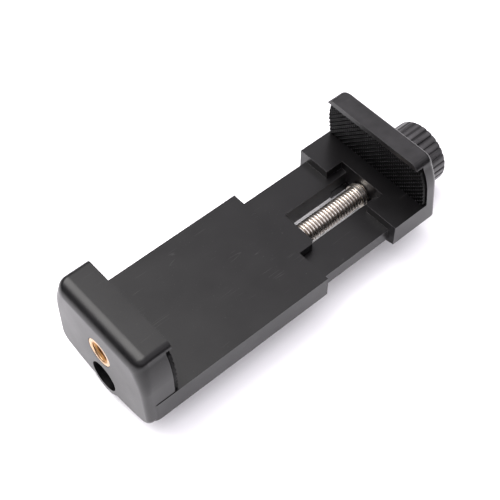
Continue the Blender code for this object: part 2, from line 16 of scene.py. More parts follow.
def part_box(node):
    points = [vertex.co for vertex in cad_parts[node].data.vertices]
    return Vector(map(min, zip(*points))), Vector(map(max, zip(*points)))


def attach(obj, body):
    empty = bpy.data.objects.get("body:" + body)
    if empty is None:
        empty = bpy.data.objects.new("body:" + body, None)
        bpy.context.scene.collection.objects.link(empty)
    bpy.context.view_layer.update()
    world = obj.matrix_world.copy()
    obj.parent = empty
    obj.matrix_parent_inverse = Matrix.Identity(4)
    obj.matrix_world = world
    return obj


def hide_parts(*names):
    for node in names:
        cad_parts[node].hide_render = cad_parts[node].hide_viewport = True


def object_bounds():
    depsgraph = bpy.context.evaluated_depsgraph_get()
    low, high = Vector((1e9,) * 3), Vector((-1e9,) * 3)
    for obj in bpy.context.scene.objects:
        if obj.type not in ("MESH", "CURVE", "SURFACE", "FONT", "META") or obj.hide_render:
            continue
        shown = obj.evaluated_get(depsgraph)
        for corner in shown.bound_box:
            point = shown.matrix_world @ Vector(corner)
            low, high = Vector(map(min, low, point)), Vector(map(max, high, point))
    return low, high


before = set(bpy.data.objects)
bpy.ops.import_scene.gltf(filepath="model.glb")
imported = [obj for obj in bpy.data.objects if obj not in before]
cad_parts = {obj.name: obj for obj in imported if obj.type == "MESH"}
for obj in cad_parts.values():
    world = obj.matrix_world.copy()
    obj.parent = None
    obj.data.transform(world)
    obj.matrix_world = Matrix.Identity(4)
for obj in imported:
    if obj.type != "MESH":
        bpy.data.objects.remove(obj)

cad_low, cad_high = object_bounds()
MM = 0.001
print("CAD box in mm:", [round(side / MM, 1) for side in Vector(cad_high) - Vector(cad_low)])

# %% [markdown]
# ## The clamp's own frame
# The CAD model stands on the knob's rim. It is easier to think from the clamp itself: x from
# the fixed jaw's end face, y across, z up from the lead screw's axis. Two numbers, read from
# the CAD boxes, tie that frame to the model's, so every place below can be given from it.

# %% Place the clamp frame in the model
rod_low, rod_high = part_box("thrust_collar")
END_X = cad_low[0]
AXIS_Z = (rod_low.z + rod_high.z) / 2
TO_MODEL = Matrix.Translation((END_X, 0, AXIS_Z))


def clamp_box(node):
    """A CAD node's lowest and highest corners, in the clamp's frame."""
    low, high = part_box(node)
    lift = Vector((END_X, 0, AXIS_Z))
    return low - lift, high - lift


print("end face at x =", round(END_X / MM, 2), "mm, screw axis at z =", round(AXIS_Z / MM, 2), "mm")

# %% [markdown]
# ## Helpers for objects and node trees
# Finishes, the room's light and the repeated shapes are all made of nodes, so a few short
# functions make a node, link it and give back the socket that the next one needs.

# %% Put an object in the scene and point it
def put(name, data):
    """A new object in the scene, holding a mesh, a camera or a light."""
    made = bpy.data.objects.new(name, data)
    bpy.context.scene.collection.objects.link(made)
    return made


def aimed(way):
    """The turn that points a camera or a light back along a way."""
    return way.to_track_quat("Z", "Y").to_matrix().to_4x4()


# %% Make nodes and simple sums
def add_node(tree, kind, inputs=None, **settings):
    """A new node with its settings and inputs; an input can be a value or another socket."""
    node = tree.nodes.new(kind)
    for name, value in settings.items():
        setattr(node, name, value)
    for key, value in (inputs or {}).items():
        if isinstance(value, bpy.types.NodeSocket):
            tree.links.new(value, node.inputs[key])
        else:
            node.inputs[key].default_value = value
    return node


def math_node(tree, operation, first, second=0.0, third=None, clamp=False):
    """The result socket of one sum on numbers or sockets."""
    inputs = {0: first, 1: second}
    if third is not None:
        inputs[2] = third
    return add_node(tree, "ShaderNodeMath", inputs, operation=operation, use_clamp=clamp).outputs[0]


def plus(tree, first, second):
    return math_node(tree, "ADD", first, second)


def minus(tree, first, second):
    return math_node(tree, "SUBTRACT", first, second)


def times(tree, first, second):
    return math_node(tree, "MULTIPLY", first, second)


def blend_colours(tree, amount, first, second):
    made = add_node(tree, "ShaderNodeMix", {"Factor": amount}, data_type="RGBA")
    for slot, colour in ((6, first), (7, second)):
        if isinstance(colour, bpy.types.NodeSocket):
            tree.links.new(colour, made.inputs[slot])
        else:
            made.inputs[slot].default_value = (*colour, 1)
    return made.outputs[2]

# %% [markdown]
# ## Camera
# The camera looks down on the clamp from beyond the fixed jaw, a little over half a right
# angle above the floor, with a long lens, so that the plate keeps nearly parallel sides.
# A small shift frames the clamp without turning the camera.

# %% Set the camera
CAMERA_AZIMUTH = math.radians(-130.67)
CAMERA_ELEVATION = math.radians(52.91)
CAMERA_ROLL = math.radians(-0.69)
CAMERA_DISTANCE = 296 * MM
CAMERA_TARGET = Vector((-3.78, 3.45, 14.0)) * MM
CAMERA_LENS = 81.67
CAMERA_SHIFT = (-0.0104, -0.0134)

camera_data = bpy.data.cameras.new("camera")
camera_data.lens = CAMERA_LENS
camera_data.sensor_width = 36
camera_data.shift_x, camera_data.shift_y = CAMERA_SHIFT
camera_data.clip_start = 0.01
camera = put("camera", camera_data)
bpy.context.scene.camera = camera


def pointing(azimuth, elevation):
    """The unit vector at an azimuth and elevation, both in radians."""
    level = math.cos(elevation)
    return Vector((level * math.cos(azimuth), level * math.sin(azimuth), math.sin(elevation)))


towards = pointing(CAMERA_AZIMUTH, CAMERA_ELEVATION)
camera.matrix_world = (
    Matrix.Translation(CAMERA_TARGET + towards * CAMERA_DISTANCE)
    @ aimed(towards)
    @ Matrix.Rotation(CAMERA_ROLL, 4, "Z")
)
print("camera is", round(CAMERA_DISTANCE / MM), "mm from the clamp, lens", CAMERA_LENS, "mm")

# %% [markdown]
# ## Floor and light
# A small product is shot on a white table that is lit until it is pure white, so that only
# the deepest shadow beside the clamp shows. A white ceiling gives most of the light, and one
# big soft light on the far side throws the shadow forward. Black plastic is mostly seen by
# what it mirrors: the ceiling lies as a sheen on every face that looks up, and the dark at
# eye level is what separates those faces from the upright ones. The ceiling dims in one band,
# the one that the flat plate mirrors, so the plate stays darker than the rounds beside it.

# %% Lay the white table
TABLE_RADIUS = 300 * MM
TABLE_SIDES = 96
TABLE_GLOW = 0.06

table_mesh = bpy.data.meshes.new("table")
work = bmesh.new()
bmesh.ops.create_circle(work, cap_ends=True, segments=TABLE_SIDES, radius=TABLE_RADIUS)
work.to_mesh(table_mesh)
work.free()
table = put("table", table_mesh)
white = bpy.data.materials.new("white_table")
white.use_nodes = True
for label, value in (
    ("Base Color", (0.9, 0.9, 0.91, 1)),
    ("Roughness", 0.9),
    ("Specular IOR Level", 0.1),
    ("Emission Color", (0.97, 0.96, 1, 1)),
    ("Emission Strength", TABLE_GLOW),
):
    white.node_tree.nodes["Principled BSDF"].inputs[label].default_value = value
table_mesh.materials.append(white)
print("table is", round(2 * TABLE_RADIUS / MM), "mm across")

# %% Hang the soft light
SOFTBOX_WAY = Vector((-0.24, 0.44, 0.86)).normalized()
SOFTBOX_DISTANCE = 1000 * MM
SOFTBOX_SIDE = 760 * MM
SOFTBOX_POWER = 9.5

softbox_data = bpy.data.lights.new("softbox", "AREA")
softbox_data.size = SOFTBOX_SIDE
softbox_data.energy = SOFTBOX_POWER
softbox_data.color = (1.0, 0.985, 0.96)
softbox = put("softbox", softbox_data)
softbox.matrix_world = Matrix.Translation(SOFTBOX_WAY * SOFTBOX_DISTANCE) @ aimed(SOFTBOX_WAY)
softbox.visible_camera = False
wide_mm, away_mm = round(SOFTBOX_SIDE / MM), round(SOFTBOX_DISTANCE / MM)
print("softbox is", wide_mm, "mm wide and", away_mm, "mm away")

# %% Paint the room as a sky, dark at eye level and white above
# A stop is a height, from 0 at eye level to 1 overhead, and the ceiling's brightness there.
# The fill makes the room stronger for matt surfaces, which keeps the table white and leaves
# the black faces as they are.
FLOOR_LIGHT = (0.02, 0.02, 0.022, 1)
WALL_TOP = 0.32
WALL_LIGHT = (0.06, 0.06, 0.065, 1)
CEILING_STOPS = (
    (0.58, 1.05), (0.71, 1.35), (0.77, 0.98), (0.81, 0.55), (0.86, 0.40), (0.93, 1.45),
)
CEILING_TINT = (1.0, 0.965, 1.02)
CEILING_FILL = 0.85

room = bpy.data.worlds.new("room")
room.use_nodes = True
bpy.context.scene.world = room
sky = room.node_tree
way = add_node(sky, "ShaderNodeTexCoord").outputs["Generated"]
height = add_node(sky, "ShaderNodeSeparateXYZ", {0: way}).outputs["Z"]
ramp_node = add_node(sky, "ShaderNodeValToRGB", {"Fac": height})
stops = ramp_node.color_ramp.elements
floor_stop, wall_stop = stops
floor_stop.position, floor_stop.color = 0.0, FLOOR_LIGHT
wall_stop.position, wall_stop.color = WALL_TOP, WALL_LIGHT
for place, glow in CEILING_STOPS:
    tinted = [glow * share for share in CEILING_TINT]
    stops.new(place).color = (*tinted, 1)
ray = add_node(sky, "ShaderNodeLightPath").outputs
seen = blend_colours(sky, ray["Is Camera Ray"], ramp_node.outputs["Color"], (1, 1, 1))
strength = math_node(sky, "MULTIPLY_ADD", ray["Is Diffuse Ray"], CEILING_FILL, 1.0)
sky.links.new(seen, sky.nodes["Background"].inputs["Color"])
sky.links.new(strength, sky.nodes["Background"].inputs["Strength"])
bpy.context.scene.view_settings.view_transform = "Standard"
print("room has", len(stops), "stops from eye level to overhead")

# %% [markdown]
# ## Finishes
# Moulded plastic is never one flat colour: the mould was spark-eroded, so the surface has a
# fine grain, handling has polished it in patches and left hair scratches, and its edges are
# rubbed a little paler and smoother, and painted paler still as a highlight. All of that is
# made from noise on Object coordinates. A face attribute called worn, written when an
# edge is rounded, says where the rubbing and the painted highlight are; it also marks a painted
# sheen on the moving jaw's top and on the knob's ribs.

# %% A noise helper, in object space and scaled in features per millimetre
def noise(tree, per_mm, detail=3.0, stretch=(1, 1, 1), turn=0.0):
    place = add_node(tree, "ShaderNodeTexCoord")
    laid = add_node(
        tree,
        "ShaderNodeMapping",
        {"Vector": place.outputs["Object"], "Scale": stretch, "Rotation": (0, 0, turn)},
    )
    made = add_node(
        tree,
        "ShaderNodeTexNoise",
        {"Vector": laid.outputs["Vector"], "Scale": per_mm / MM, "Detail": detail},
    )
    return made.outputs["Fac"]


def remap(tree, value, low, high, to_low, to_high, way="LINEAR"):
    inputs = {"Value": value, 1: low, 2: high, 3: to_low, 4: to_high}
    return add_node(tree, "ShaderNodeMapRange", inputs, interpolation_type=way).outputs["Result"]


def bump(tree, height, depth, below=None):
    inputs = {"Height": height, "Distance": depth, "Strength": 1.0}
    if below is not None:
        inputs["Normal"] = below
    return add_node(tree, "ShaderNodeBump", inputs).outputs["Normal"]


# %% Hair scratches: long thin cells, seen only where a patch of noise lets them through
def scratches(tree, turn):
    streak = noise(tree, 0.35, 1.0, (0.06, 1.0, 1.0), turn)
    line = remap(tree, streak, 0.50, 0.508, 0.0, 1.0)
    back = remap(tree, streak, 0.508, 0.516, 1.0, 0.0)
    patch = remap(tree, noise(tree, 0.12, 2.0, turn=turn), 0.60, 0.70, 0.0, 1.0)
    return times(tree, times(tree, line, back), patch)


# %% Start a finish, read a number kept on the mesh, and wire the finish up
def new_finish(name):
    made = bpy.data.materials.new(name)
    made.use_nodes = True
    return made, made.node_tree


def kept(tree, name):
    return add_node(tree, "ShaderNodeAttribute", attribute_name=name).outputs["Fac"]


def dress(tree, colour, roughness, normal, **values):
    """Links the three looks to the shader, and sets its other inputs by name."""
    inputs = tree.nodes["Principled BSDF"].inputs
    tree.links.new(colour, inputs["Base Color"])
    tree.links.new(roughness, inputs["Roughness"])
    tree.links.new(normal, inputs["Normal"])
    for label, value in values.items():
        inputs[label.replace("_", " ")].default_value = value


# %% Satin black plastic
def black_plastic():
    made, tree = new_finish("black_plastic")
    worn = kept(tree, "worn")
    patches = noise(tree, 0.10, 4.0)
    specks = remap(tree, noise(tree, 1.6, 1.0), 0.73, 0.78, 0.0, 1.0)
    marks = math_node(tree, "ADD", scratches(tree, 0.5), scratches(tree, -0.9), clamp=True)
    dust = math_node(tree, "MAXIMUM", times(tree, specks, 0.35), marks)
    plain = blend_colours(tree, patches, (0.0030, 0.0027, 0.0031), (0.0050, 0.0046, 0.0051))
    thin = remap(tree, noise(tree, 0.25, 3.0), 0.3, 0.65, 0.35, 1.0)
    # Edges, the moving jaw's top and the knob's ribs are painted paler here: partly rubbing, partly
    # a painted highlight and sheen.
    rub_and_sheen = times(tree, worn, thin)
    rubbed_and_sheen = blend_colours(tree, rub_and_sheen, plain, (0.13, 0.125, 0.13))
    dust_and_sheen = blend_colours(tree, times(tree, dust, 0.30), rubbed_and_sheen, (0.10, 0.097, 0.095))
    satin = remap(tree, patches, 0.3, 0.7, 0.30, 0.37)
    smoother = math_node(tree, "MULTIPLY_ADD", worn, -0.05, satin)
    grain = bump(tree, noise(tree, 5.0, 2.0), 0.006 * MM)
    scored = bump(tree, marks, 0.004 * MM, grain)
    dress(tree, dust_and_sheen, smoother, scored, Specular_IOR_Level=0.42)
    return made


# %% Rubber, nickel plate, brass and black zinc
def rubber():
    """Dull black, with the tips of the pads' teeth painted paler, partly a chalky rub and partly a
    painted highlight.
    """
    made, tree = new_finish("rubber")
    patch = remap(tree, noise(tree, 0.35, 3.0), 0.35, 0.65, 0.35, 1.0)
    # The teeth's tips are painted paler: partly a chalky rub, partly a painted highlight on the
    # ridges.
    chalk_and_highlight = times(tree, remap(tree, kept(tree, "tip"), 0.72, 1.0, 0.0, 1.0), patch)
    colour = blend_colours(tree, chalk_and_highlight, (0.0006, 0.0006, 0.0007), (0.17, 0.17, 0.175))
    roughness = remap(tree, noise(tree, 0.5, 3.0), 0.3, 0.7, 0.42, 0.6)
    grain = bump(tree, noise(tree, 4.0, 2.0), 0.01 * MM)
    dress(tree, colour, roughness, grain, Specular_IOR_Level=0.08)
    return made


def plated_metal(name, bright, dull, grime, smooth, rough):
    """Metal with turning lines, a faint film in patches and grime where a thread is deep."""
    made, tree = new_finish(name)
    film = remap(tree, noise(tree, 0.5, 3.0), 0.5, 0.75, 0.0, 0.6)
    clean = blend_colours(tree, film, bright, dull)
    caked = times(tree, remap(tree, kept(tree, "deep"), 0.35, 1.0, 0.0, 1.0), 0.85)
    colour = blend_colours(tree, caked, clean, grime)
    lines = noise(tree, 3.0, 2.0, (1.0, 0.08, 0.08))
    turned_lines = remap(tree, lines, 0.3, 0.7, smooth, rough)
    roughness = math_node(tree, "MULTIPLY_ADD", caked, 0.25, turned_lines)
    dress(tree, colour, roughness, bump(tree, lines, 0.0015 * MM), Metallic=1.0)
    return made


# Each metal's bright and dull colours, the grime in its threads, and its roughness from to.
METALS = {
    "nickel": ((0.93, 0.88, 0.81), (0.78, 0.70, 0.61), (0.10, 0.055, 0.03), 0.22, 0.32),
    "brass": ((0.62, 0.42, 0.25), (0.50, 0.31, 0.15), (0.42, 0.20, 0.05), 0.22, 0.36),
    "black_steel": ((0.09, 0.09, 0.10), (0.05, 0.05, 0.05), (0.02, 0.02, 0.02), 0.3, 0.5),
}
FINISHES = {"black_plastic": black_plastic(), "rubber": rubber()}
FINISHES.update({name: plated_metal(name, *look) for name, look in METALS.items()})
print("finishes:", ", ".join(FINISHES))

# %% [markdown]
# ## Shaping helpers
# Most of the clamp is flat outlines pushed along one axis, and rounds turned about the screw.
# So two helpers make those solids, a third joins or cuts them, and a fourth rounds the edges
# that a mould leaves round. Every piece is drawn in the clamp frame and moved as its last step.

# %% Three ways to lie, and a step that turns modifiers into a plain mesh
ALONG_X = Matrix(((0, 0, 1, 0), (1, 0, 0, 0), (0, 1, 0, 0), (0, 0, 0, 1)))
ALONG_Y = Matrix(((1, 0, 0, 0), (0, 0, -1, 0), (0, 1, 0, 0), (0, 0, 0, 1)))
ALONG_Z = Matrix.Identity(4)


def baked(shape):
    """The object with its modifiers turned into mesh and removed."""
    shown = shape.evaluated_get(bpy.context.evaluated_depsgraph_get())
    mesh = bpy.data.meshes.new_from_object(shown)
    shape.modifiers.clear()
    shape.data = mesh
    return shape


# %% Close a shape that is being worked on, and skin a row of rings
def closed_up(name, work):
    """The object of a closed shape, with its faces turned outward."""
    mesh = bpy.data.meshes.new(name)
    bmesh.ops.recalc_face_normals(work, faces=work.faces)
    work.to_mesh(mesh)
    work.free()
    return put(name, mesh)


def skin(work, rings, closed=False):
    """Faces from each ring of points to the next; the two ends are capped or meet."""
    pairs = list(zip(rings, rings[1:]))
    if closed:
        pairs.append((rings[-1], rings[0]))
    else:
        work.faces.new(rings[0])
        work.faces.new(rings[-1])
    for near, far in pairs:
        for place in range(len(near)):
            after = (place + 1) % len(near)
            work.faces.new((near[place], near[after], far[after], far[place]))


# %% Push an outline, turn a profile
def prism(name, outline, low, high, lie):
    """A solid of one flat outline, from low to high along the direction that lie gives."""
    work = bmesh.new()
    dots = [work.verts.new((u, v, low)) for u, v in outline]
    bottom = work.faces.new(dots)
    top = bmesh.ops.extrude_face_region(work, geom=[bottom])["geom"]
    raised = [item for item in top if isinstance(item, bmesh.types.BMVert)]
    bmesh.ops.translate(work, verts=raised, vec=(0, 0, high - low))
    bmesh.ops.transform(work, matrix=lie, verts=work.verts)
    return closed_up(name, work)


def turned(name, profile, steps=64, closed=False):
    """A solid turned about x from (x, radius) points; a closed profile is a ring's section."""
    work = bmesh.new()
    turns = [2 * math.pi * step / steps for step in range(steps)]
    rings = [
        [work.verts.new((x, radius * math.cos(a), radius * math.sin(a))) for a in turns]
        for x, radius in profile
    ]
    skin(work, rings, closed)
    return closed_up(name, work)


# %% Move, join, cut
def moved(shape, x=0.0, y=0.0, z=0.0, upright=False):
    """Shifts a shape's mesh; upright first turns its x axis to point up."""
    turn = Matrix.Rotation(-math.pi / 2, 4, "Y") if upright else Matrix.Identity(4)
    shape.data.transform(Matrix.Translation((x, y, z)) @ turn)
    return shape


def combine(target, operation, *others):
    """Boolean with each other solid in turn, which is then thrown away."""
    for other in others:
        step = target.modifiers.new("step", "BOOLEAN")
        step.operation = operation
        step.solver = "EXACT"
        step.object = other
        baked(target)
        bpy.data.objects.remove(other)
    return target


def outward(shape):
    """Recalculates a closed shape's normals."""
    work = bmesh.new()
    work.from_mesh(shape.data)
    bmesh.ops.recalc_face_normals(work, faces=work.faces)
    work.to_mesh(shape.data)
    work.free()
    return shape


# %% Round the edges, and remember where
WELD = 0.002 * MM
FLAT_ANGLE = math.radians(0.6)
EDGE_ANGLE = math.radians(32)
EDGE_SEGMENTS = 3
# How pale a rounded edge is painted: rubbing, and a painted highlight along it.
EDGE_WEAR_AND_SHEEN = 0.14


def rounded(shape, width, wear_and_sheen_amount=EDGE_WEAR_AND_SHEEN):
    """Rounds a solid's sharp edges; the new faces carry the attribute worn, as much as
    wear_and_sheen_amount, which paints them paler as rubbing and a painted highlight.
    """
    work = bmesh.new()
    work.from_mesh(shape.data)
    bmesh.ops.remove_doubles(work, verts=work.verts, dist=WELD)
    bmesh.ops.dissolve_degenerate(work, edges=work.edges, dist=WELD)
    bmesh.ops.dissolve_limit(
        work, angle_limit=FLAT_ANGLE, verts=work.verts, edges=work.edges
    )
    for face in work.faces:
        face.smooth = True
        face.material_index = 0
    work.to_mesh(shape.data)
    work.free()
    while len(shape.data.materials) < 2:
        shape.data.materials.append(None)
    edge = shape.modifiers.new("edge", "BEVEL")
    edge.width = width
    edge.segments = EDGE_SEGMENTS
    edge.limit_method = "ANGLE"
    edge.angle_limit = EDGE_ANGLE
    edge.harden_normals = True
    edge.miter_outer = "MITER_ARC"
    edge.material = 1
    flat = shape.modifiers.new("flat", "WEIGHTED_NORMAL")
    flat.mode = "FACE_AREA"
    flat.weight = 90
    baked(shape)
    mesh = shape.data
    worn = mesh.attributes.new("worn", "FLOAT", "FACE")
    for face, value in zip(mesh.polygons, worn.data):
        value.value = wear_and_sheen_amount * face.material_index
        face.material_index = 0
    return shape


# %% Shade a turned shape, and hand a piece over to the model
def smooth(shape, angle):
    """Shades a shape round, but keeps edges sharper than this many degrees."""
    shape.data.shade_smooth()
    shape.data.set_sharp_from_angle(angle=math.radians(angle))
    return shape


def hand_over(shape, body, finish, *replaced):
    """The last step of a piece: finish, place in the model, body and CAD nodes."""
    shape.data.materials.clear()
    shape.data.materials.append(FINISHES[finish])
    shape.data.transform(TO_MODEL)
    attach(shape, body)
    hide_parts(*replaced)
    print(f"{shape.name}: {len(shape.data.polygons)} faces, rides on {body}")
    return shape


# %% [markdown]
# ## Outlines shared by the shell and the jaws
# Both jaws are as wide as the plate and lean in towards their tops along one large arc, and
# the belly below is a shallow keel round the screw. An arc helper and a mirror keep each
# outline down to the few points that its shape needs.

# %% Read the driving sizes from the CAD boxes
GAP = 0.3 * MM
OVERSHOOT = 0.1 * MM
shell_low, shell_high = clamp_box("body_shell")
pad_low, pad_high = clamp_box("fixed_jaw_pad")
cover_low, cover_high = clamp_box("bottom_cover")
jaw_low, jaw_high = clamp_box("slide_jaw")
arm_cover_low, arm_cover_high = clamp_box("jaw_cover")
insert_low, insert_high = clamp_box("tripod_insert")
nut_low, nut_high = clamp_box("screw_nut")
knob_low, knob_high = clamp_box("knob")

HALF_WIDTH = shell_high.y
JAW_TOP = jaw_high.z
PLATE_TOP = pad_low.z - GAP
BODY_LENGTH = cover_high.x
TAB_END = shell_high.x
SEAT_X = pad_low.x - GAP
LIP_BOTTOM = pad_high.z + GAP
SPINE_RADIUS = -shell_low.z
ARM_START = jaw_low.x
ARM_COVER_START = arm_cover_low.x
LEDGE_START = ARM_COVER_START - 0.5 * MM
SKIRT_BOTTOM = -0.3 * MM
INSERT_Z = (insert_low.z + insert_high.z) / 2
INSERT_RADIUS = (insert_high.y - insert_low.y) / 2
NUT_RADIUS = nut_high.y
KNOB_RADIUS = -cad_low[2] + AXIS_Z
KNOB_START = knob_low.x
KNOB_END = knob_high.x
print("half width", round(HALF_WIDTH / MM, 2), "jaw top", round(JAW_TOP / MM, 2), "mm")

# %% Arc and mirror helpers
def arc(centre, radius, start, end, steps):
    """Points on a circle, from start to end in degrees."""
    angles = [math.radians(start + (end - start) * i / steps) for i in range(steps + 1)]
    return [(centre[0] + radius * math.cos(a), centre[1] + radius * math.sin(a)) for a in angles]


def mirrored(half):
    """A closed outline from its right half, listed from bottom to top."""
    return half + [(-u, v) for u, v in reversed(half) if u > 1e-9]


# %% The jaws' sides, the belly and the plan's round corners
JAW_INSET = 0.15 * MM
JAW_SIDE_START = 12.7 * MM
JAW_SIDE_RADIUS = 20.8 * MM
JAW_TOP_CORNER = 1.9 * MM
END_CORNER = 2.8 * MM
BELLY_FLAT = -3.6 * MM
BELLY_RISE = 0.08 * MM
SPINE_FOOT = 6.3 * MM
BELLY_KNEE = (11.0 * MM, -2.9 * MM)
BELLY_EDGE = 17.9 * MM
BELLY_LIP = 0.8 * MM


def jaw_side(inset, top=JAW_TOP, top_corner=JAW_TOP_CORNER):
    """The right side: upright, then leaning in along a large arc, with a round corner."""
    centre = (HALF_WIDTH - inset - JAW_SIDE_RADIUS, JAW_SIDE_START)
    lean = math.degrees(math.asin((top - top_corner - JAW_SIDE_START) / JAW_SIDE_RADIUS))
    leaning = arc(centre, JAW_SIDE_RADIUS, 0, lean, 14)
    corner = (leaning[-1][0] - top_corner, leaning[-1][1])
    return leaning + arc(corner, top_corner, lean / 2, 90, 8)[1:]


def spine_half(radius, level):
    return arc((0, 0), radius, -90, math.degrees(math.asin(level / radius)), 16)


def belly_half():
    return spine_half(SPINE_RADIUS, BELLY_FLAT) + [
        (SPINE_FOOT, BELLY_FLAT + BELLY_RISE),
        BELLY_KNEE,
        (BELLY_EDGE, SKIRT_BOTTOM - BELLY_LIP),
    ]


def rounded_plan(start, half_width, rest):
    """A plan with its two corners at the end face rounded; rest is its far half."""
    corner = (start + END_CORNER, -half_width + END_CORNER)
    right = arc(corner, END_CORNER, 180, 270, 12) + rest
    return right + [(u, -v) for u, v in reversed(right)]


# %% [markdown]
# ## Fixed shell
# The plate, its skirt, the fixed jaw and the boss for the nut are one moulding. It is made as
# a moulder would describe it: a plate with a channel under it, a jaw block with a rounded
# front, cut to its profile, then the boss, the posts and the bores. Last, every outer edge is
# rounded slightly, because no mould gives a knife edge, and those thin faces catch the light.

# %% The plate and its channel
SKIRT_WALL = 1.9 * MM
PLATE_THICKNESS = 2.4 * MM
END_WALL = 3.0 * MM
TAB_HALF_WIDTH = 7.5 * MM
TAB_CORNER = 1.0 * MM
CEILING = PLATE_TOP - PLATE_THICKNESS

plate_plan = rounded_plan(
    END_WALL / 6,
    HALF_WIDTH,
    [
        (BODY_LENGTH, -HALF_WIDTH),
        (BODY_LENGTH, -TAB_HALF_WIDTH),
        (TAB_END - TAB_CORNER, -TAB_HALF_WIDTH),
        (TAB_END, -TAB_HALF_WIDTH + TAB_CORNER),
    ],
)
shell = prism("clamp_body", plate_plan, SKIRT_BOTTOM, PLATE_TOP, ALONG_Z)
inner = HALF_WIDTH - SKIRT_WALL
channel_section = [(-inner, -MM), (inner, -MM), (inner, CEILING), (-inner, CEILING)]
combine(shell, "DIFFERENCE", prism("channel", channel_section, -MM, TAB_END + MM, ALONG_X))
print("plate is", round(TAB_END / MM, 1), "mm long with its tab")

# %% The fixed jaw's front: one outline, pulled in towards the end face along a quarter round
TOP_FILLET = 3.8 * MM
SIDE_FILLET = 3.0 * MM
FOOT_FILLET = 1.4 * MM
FOOT_CORNER = 3.0 * MM
FILLET_STEPS = 16
FIXED_LIP_X = 10.1 * MM


def quarter_round(radius, depth):
    """How far a quarter round pulls an outline in at a depth behind the end face."""
    left = max(radius - depth, 0.0)
    return radius - math.sqrt(radius**2 - left**2)


def pulled_in(outline, depth, top_radius, side_radius, foot_radius):
    """The outline at a depth behind its end face, squeezed from its top and from its sides."""
    drawn = []
    for y, z in outline:
        rise = min(max((z - PLATE_TOP) / (JAW_TOP - PLATE_TOP), 0.0), 1.0)
        radius = foot_radius + (side_radius - foot_radius) * rise
        narrower = 1 - quarter_round(radius, depth) / HALF_WIDTH
        drawn.append((y * narrower, z - rise * quarter_round(top_radius, depth)))
    return drawn


def round_ended(outline, far, radii):
    """A closed loft of the pulled-in outlines, straight behind its round end."""
    turns = [math.pi / 2 * step / FILLET_STEPS for step in range(FILLET_STEPS + 1)]
    depths = [max(radii) * (1 - math.cos(turn)) for turn in turns]
    work = bmesh.new()
    rings = [
        [work.verts.new((depth, y, z)) for y, z in pulled_in(outline, depth, *radii)]
        for depth in depths + [far]
    ]
    skin(work, rings)
    return closed_up("front", work)


foot_centre = (HALF_WIDTH - JAW_INSET - FOOT_CORNER, SKIRT_BOTTOM + 1.4 * MM)
foot = belly_half()[:-1] + arc(foot_centre, FOOT_CORNER, -78, 0, 10)
outline = mirrored(foot + jaw_side(JAW_INSET))
jaw_below = -SPINE_RADIUS - MM
inside_plate = PLATE_TOP - MM
fixed_profile = [
    (-MM, jaw_below),
    (-MM, JAW_TOP + MM),
    (FIXED_LIP_X, JAW_TOP + MM),
    (FIXED_LIP_X, LIP_BOTTOM),
    (SEAT_X, LIP_BOTTOM),
    (SEAT_X, inside_plate),
    (END_WALL, inside_plate),
    (END_WALL, jaw_below),
]
wide = HALF_WIDTH + MM
fixed_jaw = round_ended(outline, FIXED_LIP_X + MM, (TOP_FILLET, SIDE_FILLET, FOOT_FILLET))
combine(fixed_jaw, "INTERSECT", prism("profile", fixed_profile, -wide, wide, ALONG_Y))
combine(shell, "UNION", fixed_jaw)
print("fixed jaw stands", round((JAW_TOP - PLATE_TOP) / MM, 1), "mm over the plate")

# %% Boss, screw posts and bores
BOSS_START = 49.6 * MM
BOSS_END = 61.1 * MM
BOSS_RADIUS = 5.0 * MM
NUT_SHOULDER = 1.0 * MM
END_HOLE_RADIUS = 4.45 * MM
POST_RADIUS = 2.6 * MM
POST_FOOT = -0.6 * MM
PILOT_RADIUS = 1.3 * MM
PILOT_END = 4.6 * MM
SCREW_HOLE_RADIUS = 3.4 * MM
NUT_POCKET_RADIUS = NUT_RADIUS + 0.2 * MM
screw_head_low, screw_head_high = clamp_box("cover_screw_2")
COVER_SCREW_X = (screw_head_low.x + screw_head_high.x) / 2
COVER_SCREW_Y = (screw_head_low.y + screw_head_high.y) / 2


def pilot_hole(target, x, y):
    pilot = turned("pilot", [(POST_FOOT - MM, PILOT_RADIUS), (PILOT_END, PILOT_RADIUS)], 24)
    combine(target, "DIFFERENCE", moved(pilot, x, y, upright=True))


boss_section = arc((0, 0), BOSS_RADIUS, -180, 0, 32) + [
    (BOSS_RADIUS, CEILING + MM),
    (-BOSS_RADIUS, CEILING + MM),
]
combine(shell, "UNION", prism("boss", boss_section, BOSS_START, BOSS_END, ALONG_X))
for hand in (-1, 1):
    post = turned("post", [(POST_FOOT, POST_RADIUS), (CEILING + MM, POST_RADIUS)], 32)
    combine(shell, "UNION", moved(post, COVER_SCREW_X, hand * COVER_SCREW_Y, upright=True))
    pilot_hole(shell, COVER_SCREW_X, hand * COVER_SCREW_Y)
pocket_end = BOSS_END - NUT_SHOULDER
end_hole = turned("end_hole", [(-MM, END_HOLE_RADIUS), (END_WALL + MM, END_HOLE_RADIUS)])
seat_radius = INSERT_RADIUS + OVERSHOOT / 2
insert_seat = turned("insert_seat", [(-MM, seat_radius), (insert_high.x + GAP, seat_radius)])
nut_pocket = turned(
    "nut_pocket",
    [
        (BOSS_START - MM, NUT_POCKET_RADIUS),
        (pocket_end, NUT_POCKET_RADIUS),
        (pocket_end, SCREW_HOLE_RADIUS),
        (BOSS_END + MM, SCREW_HOLE_RADIUS),
    ],
)
combine(shell, "DIFFERENCE", end_hole, moved(insert_seat, z=INSERT_Z), nut_pocket)
print("shell has", len(shell.data.polygons), "faces before its edges are rounded")

# %% Round the shell's edges and hand it over
EDGE_WIDTH = 0.28 * MM
hand_over(rounded(shell, EDGE_WIDTH), "body", "black_plastic", "body_shell")

# %% [markdown]
# ## Slide and moving jaw
# A forked arm slides in the shell's channel. Its far end steps up into a ledge, flush with the
# plate, and the moving jaw stands on it, leaning a little towards the phone. The slot
# between the fork's legs lets the lead screw through, and the notch in the ledge takes the
# plate's tab when the clamp is closed. It is one moulding, so it is joined and cut like one.

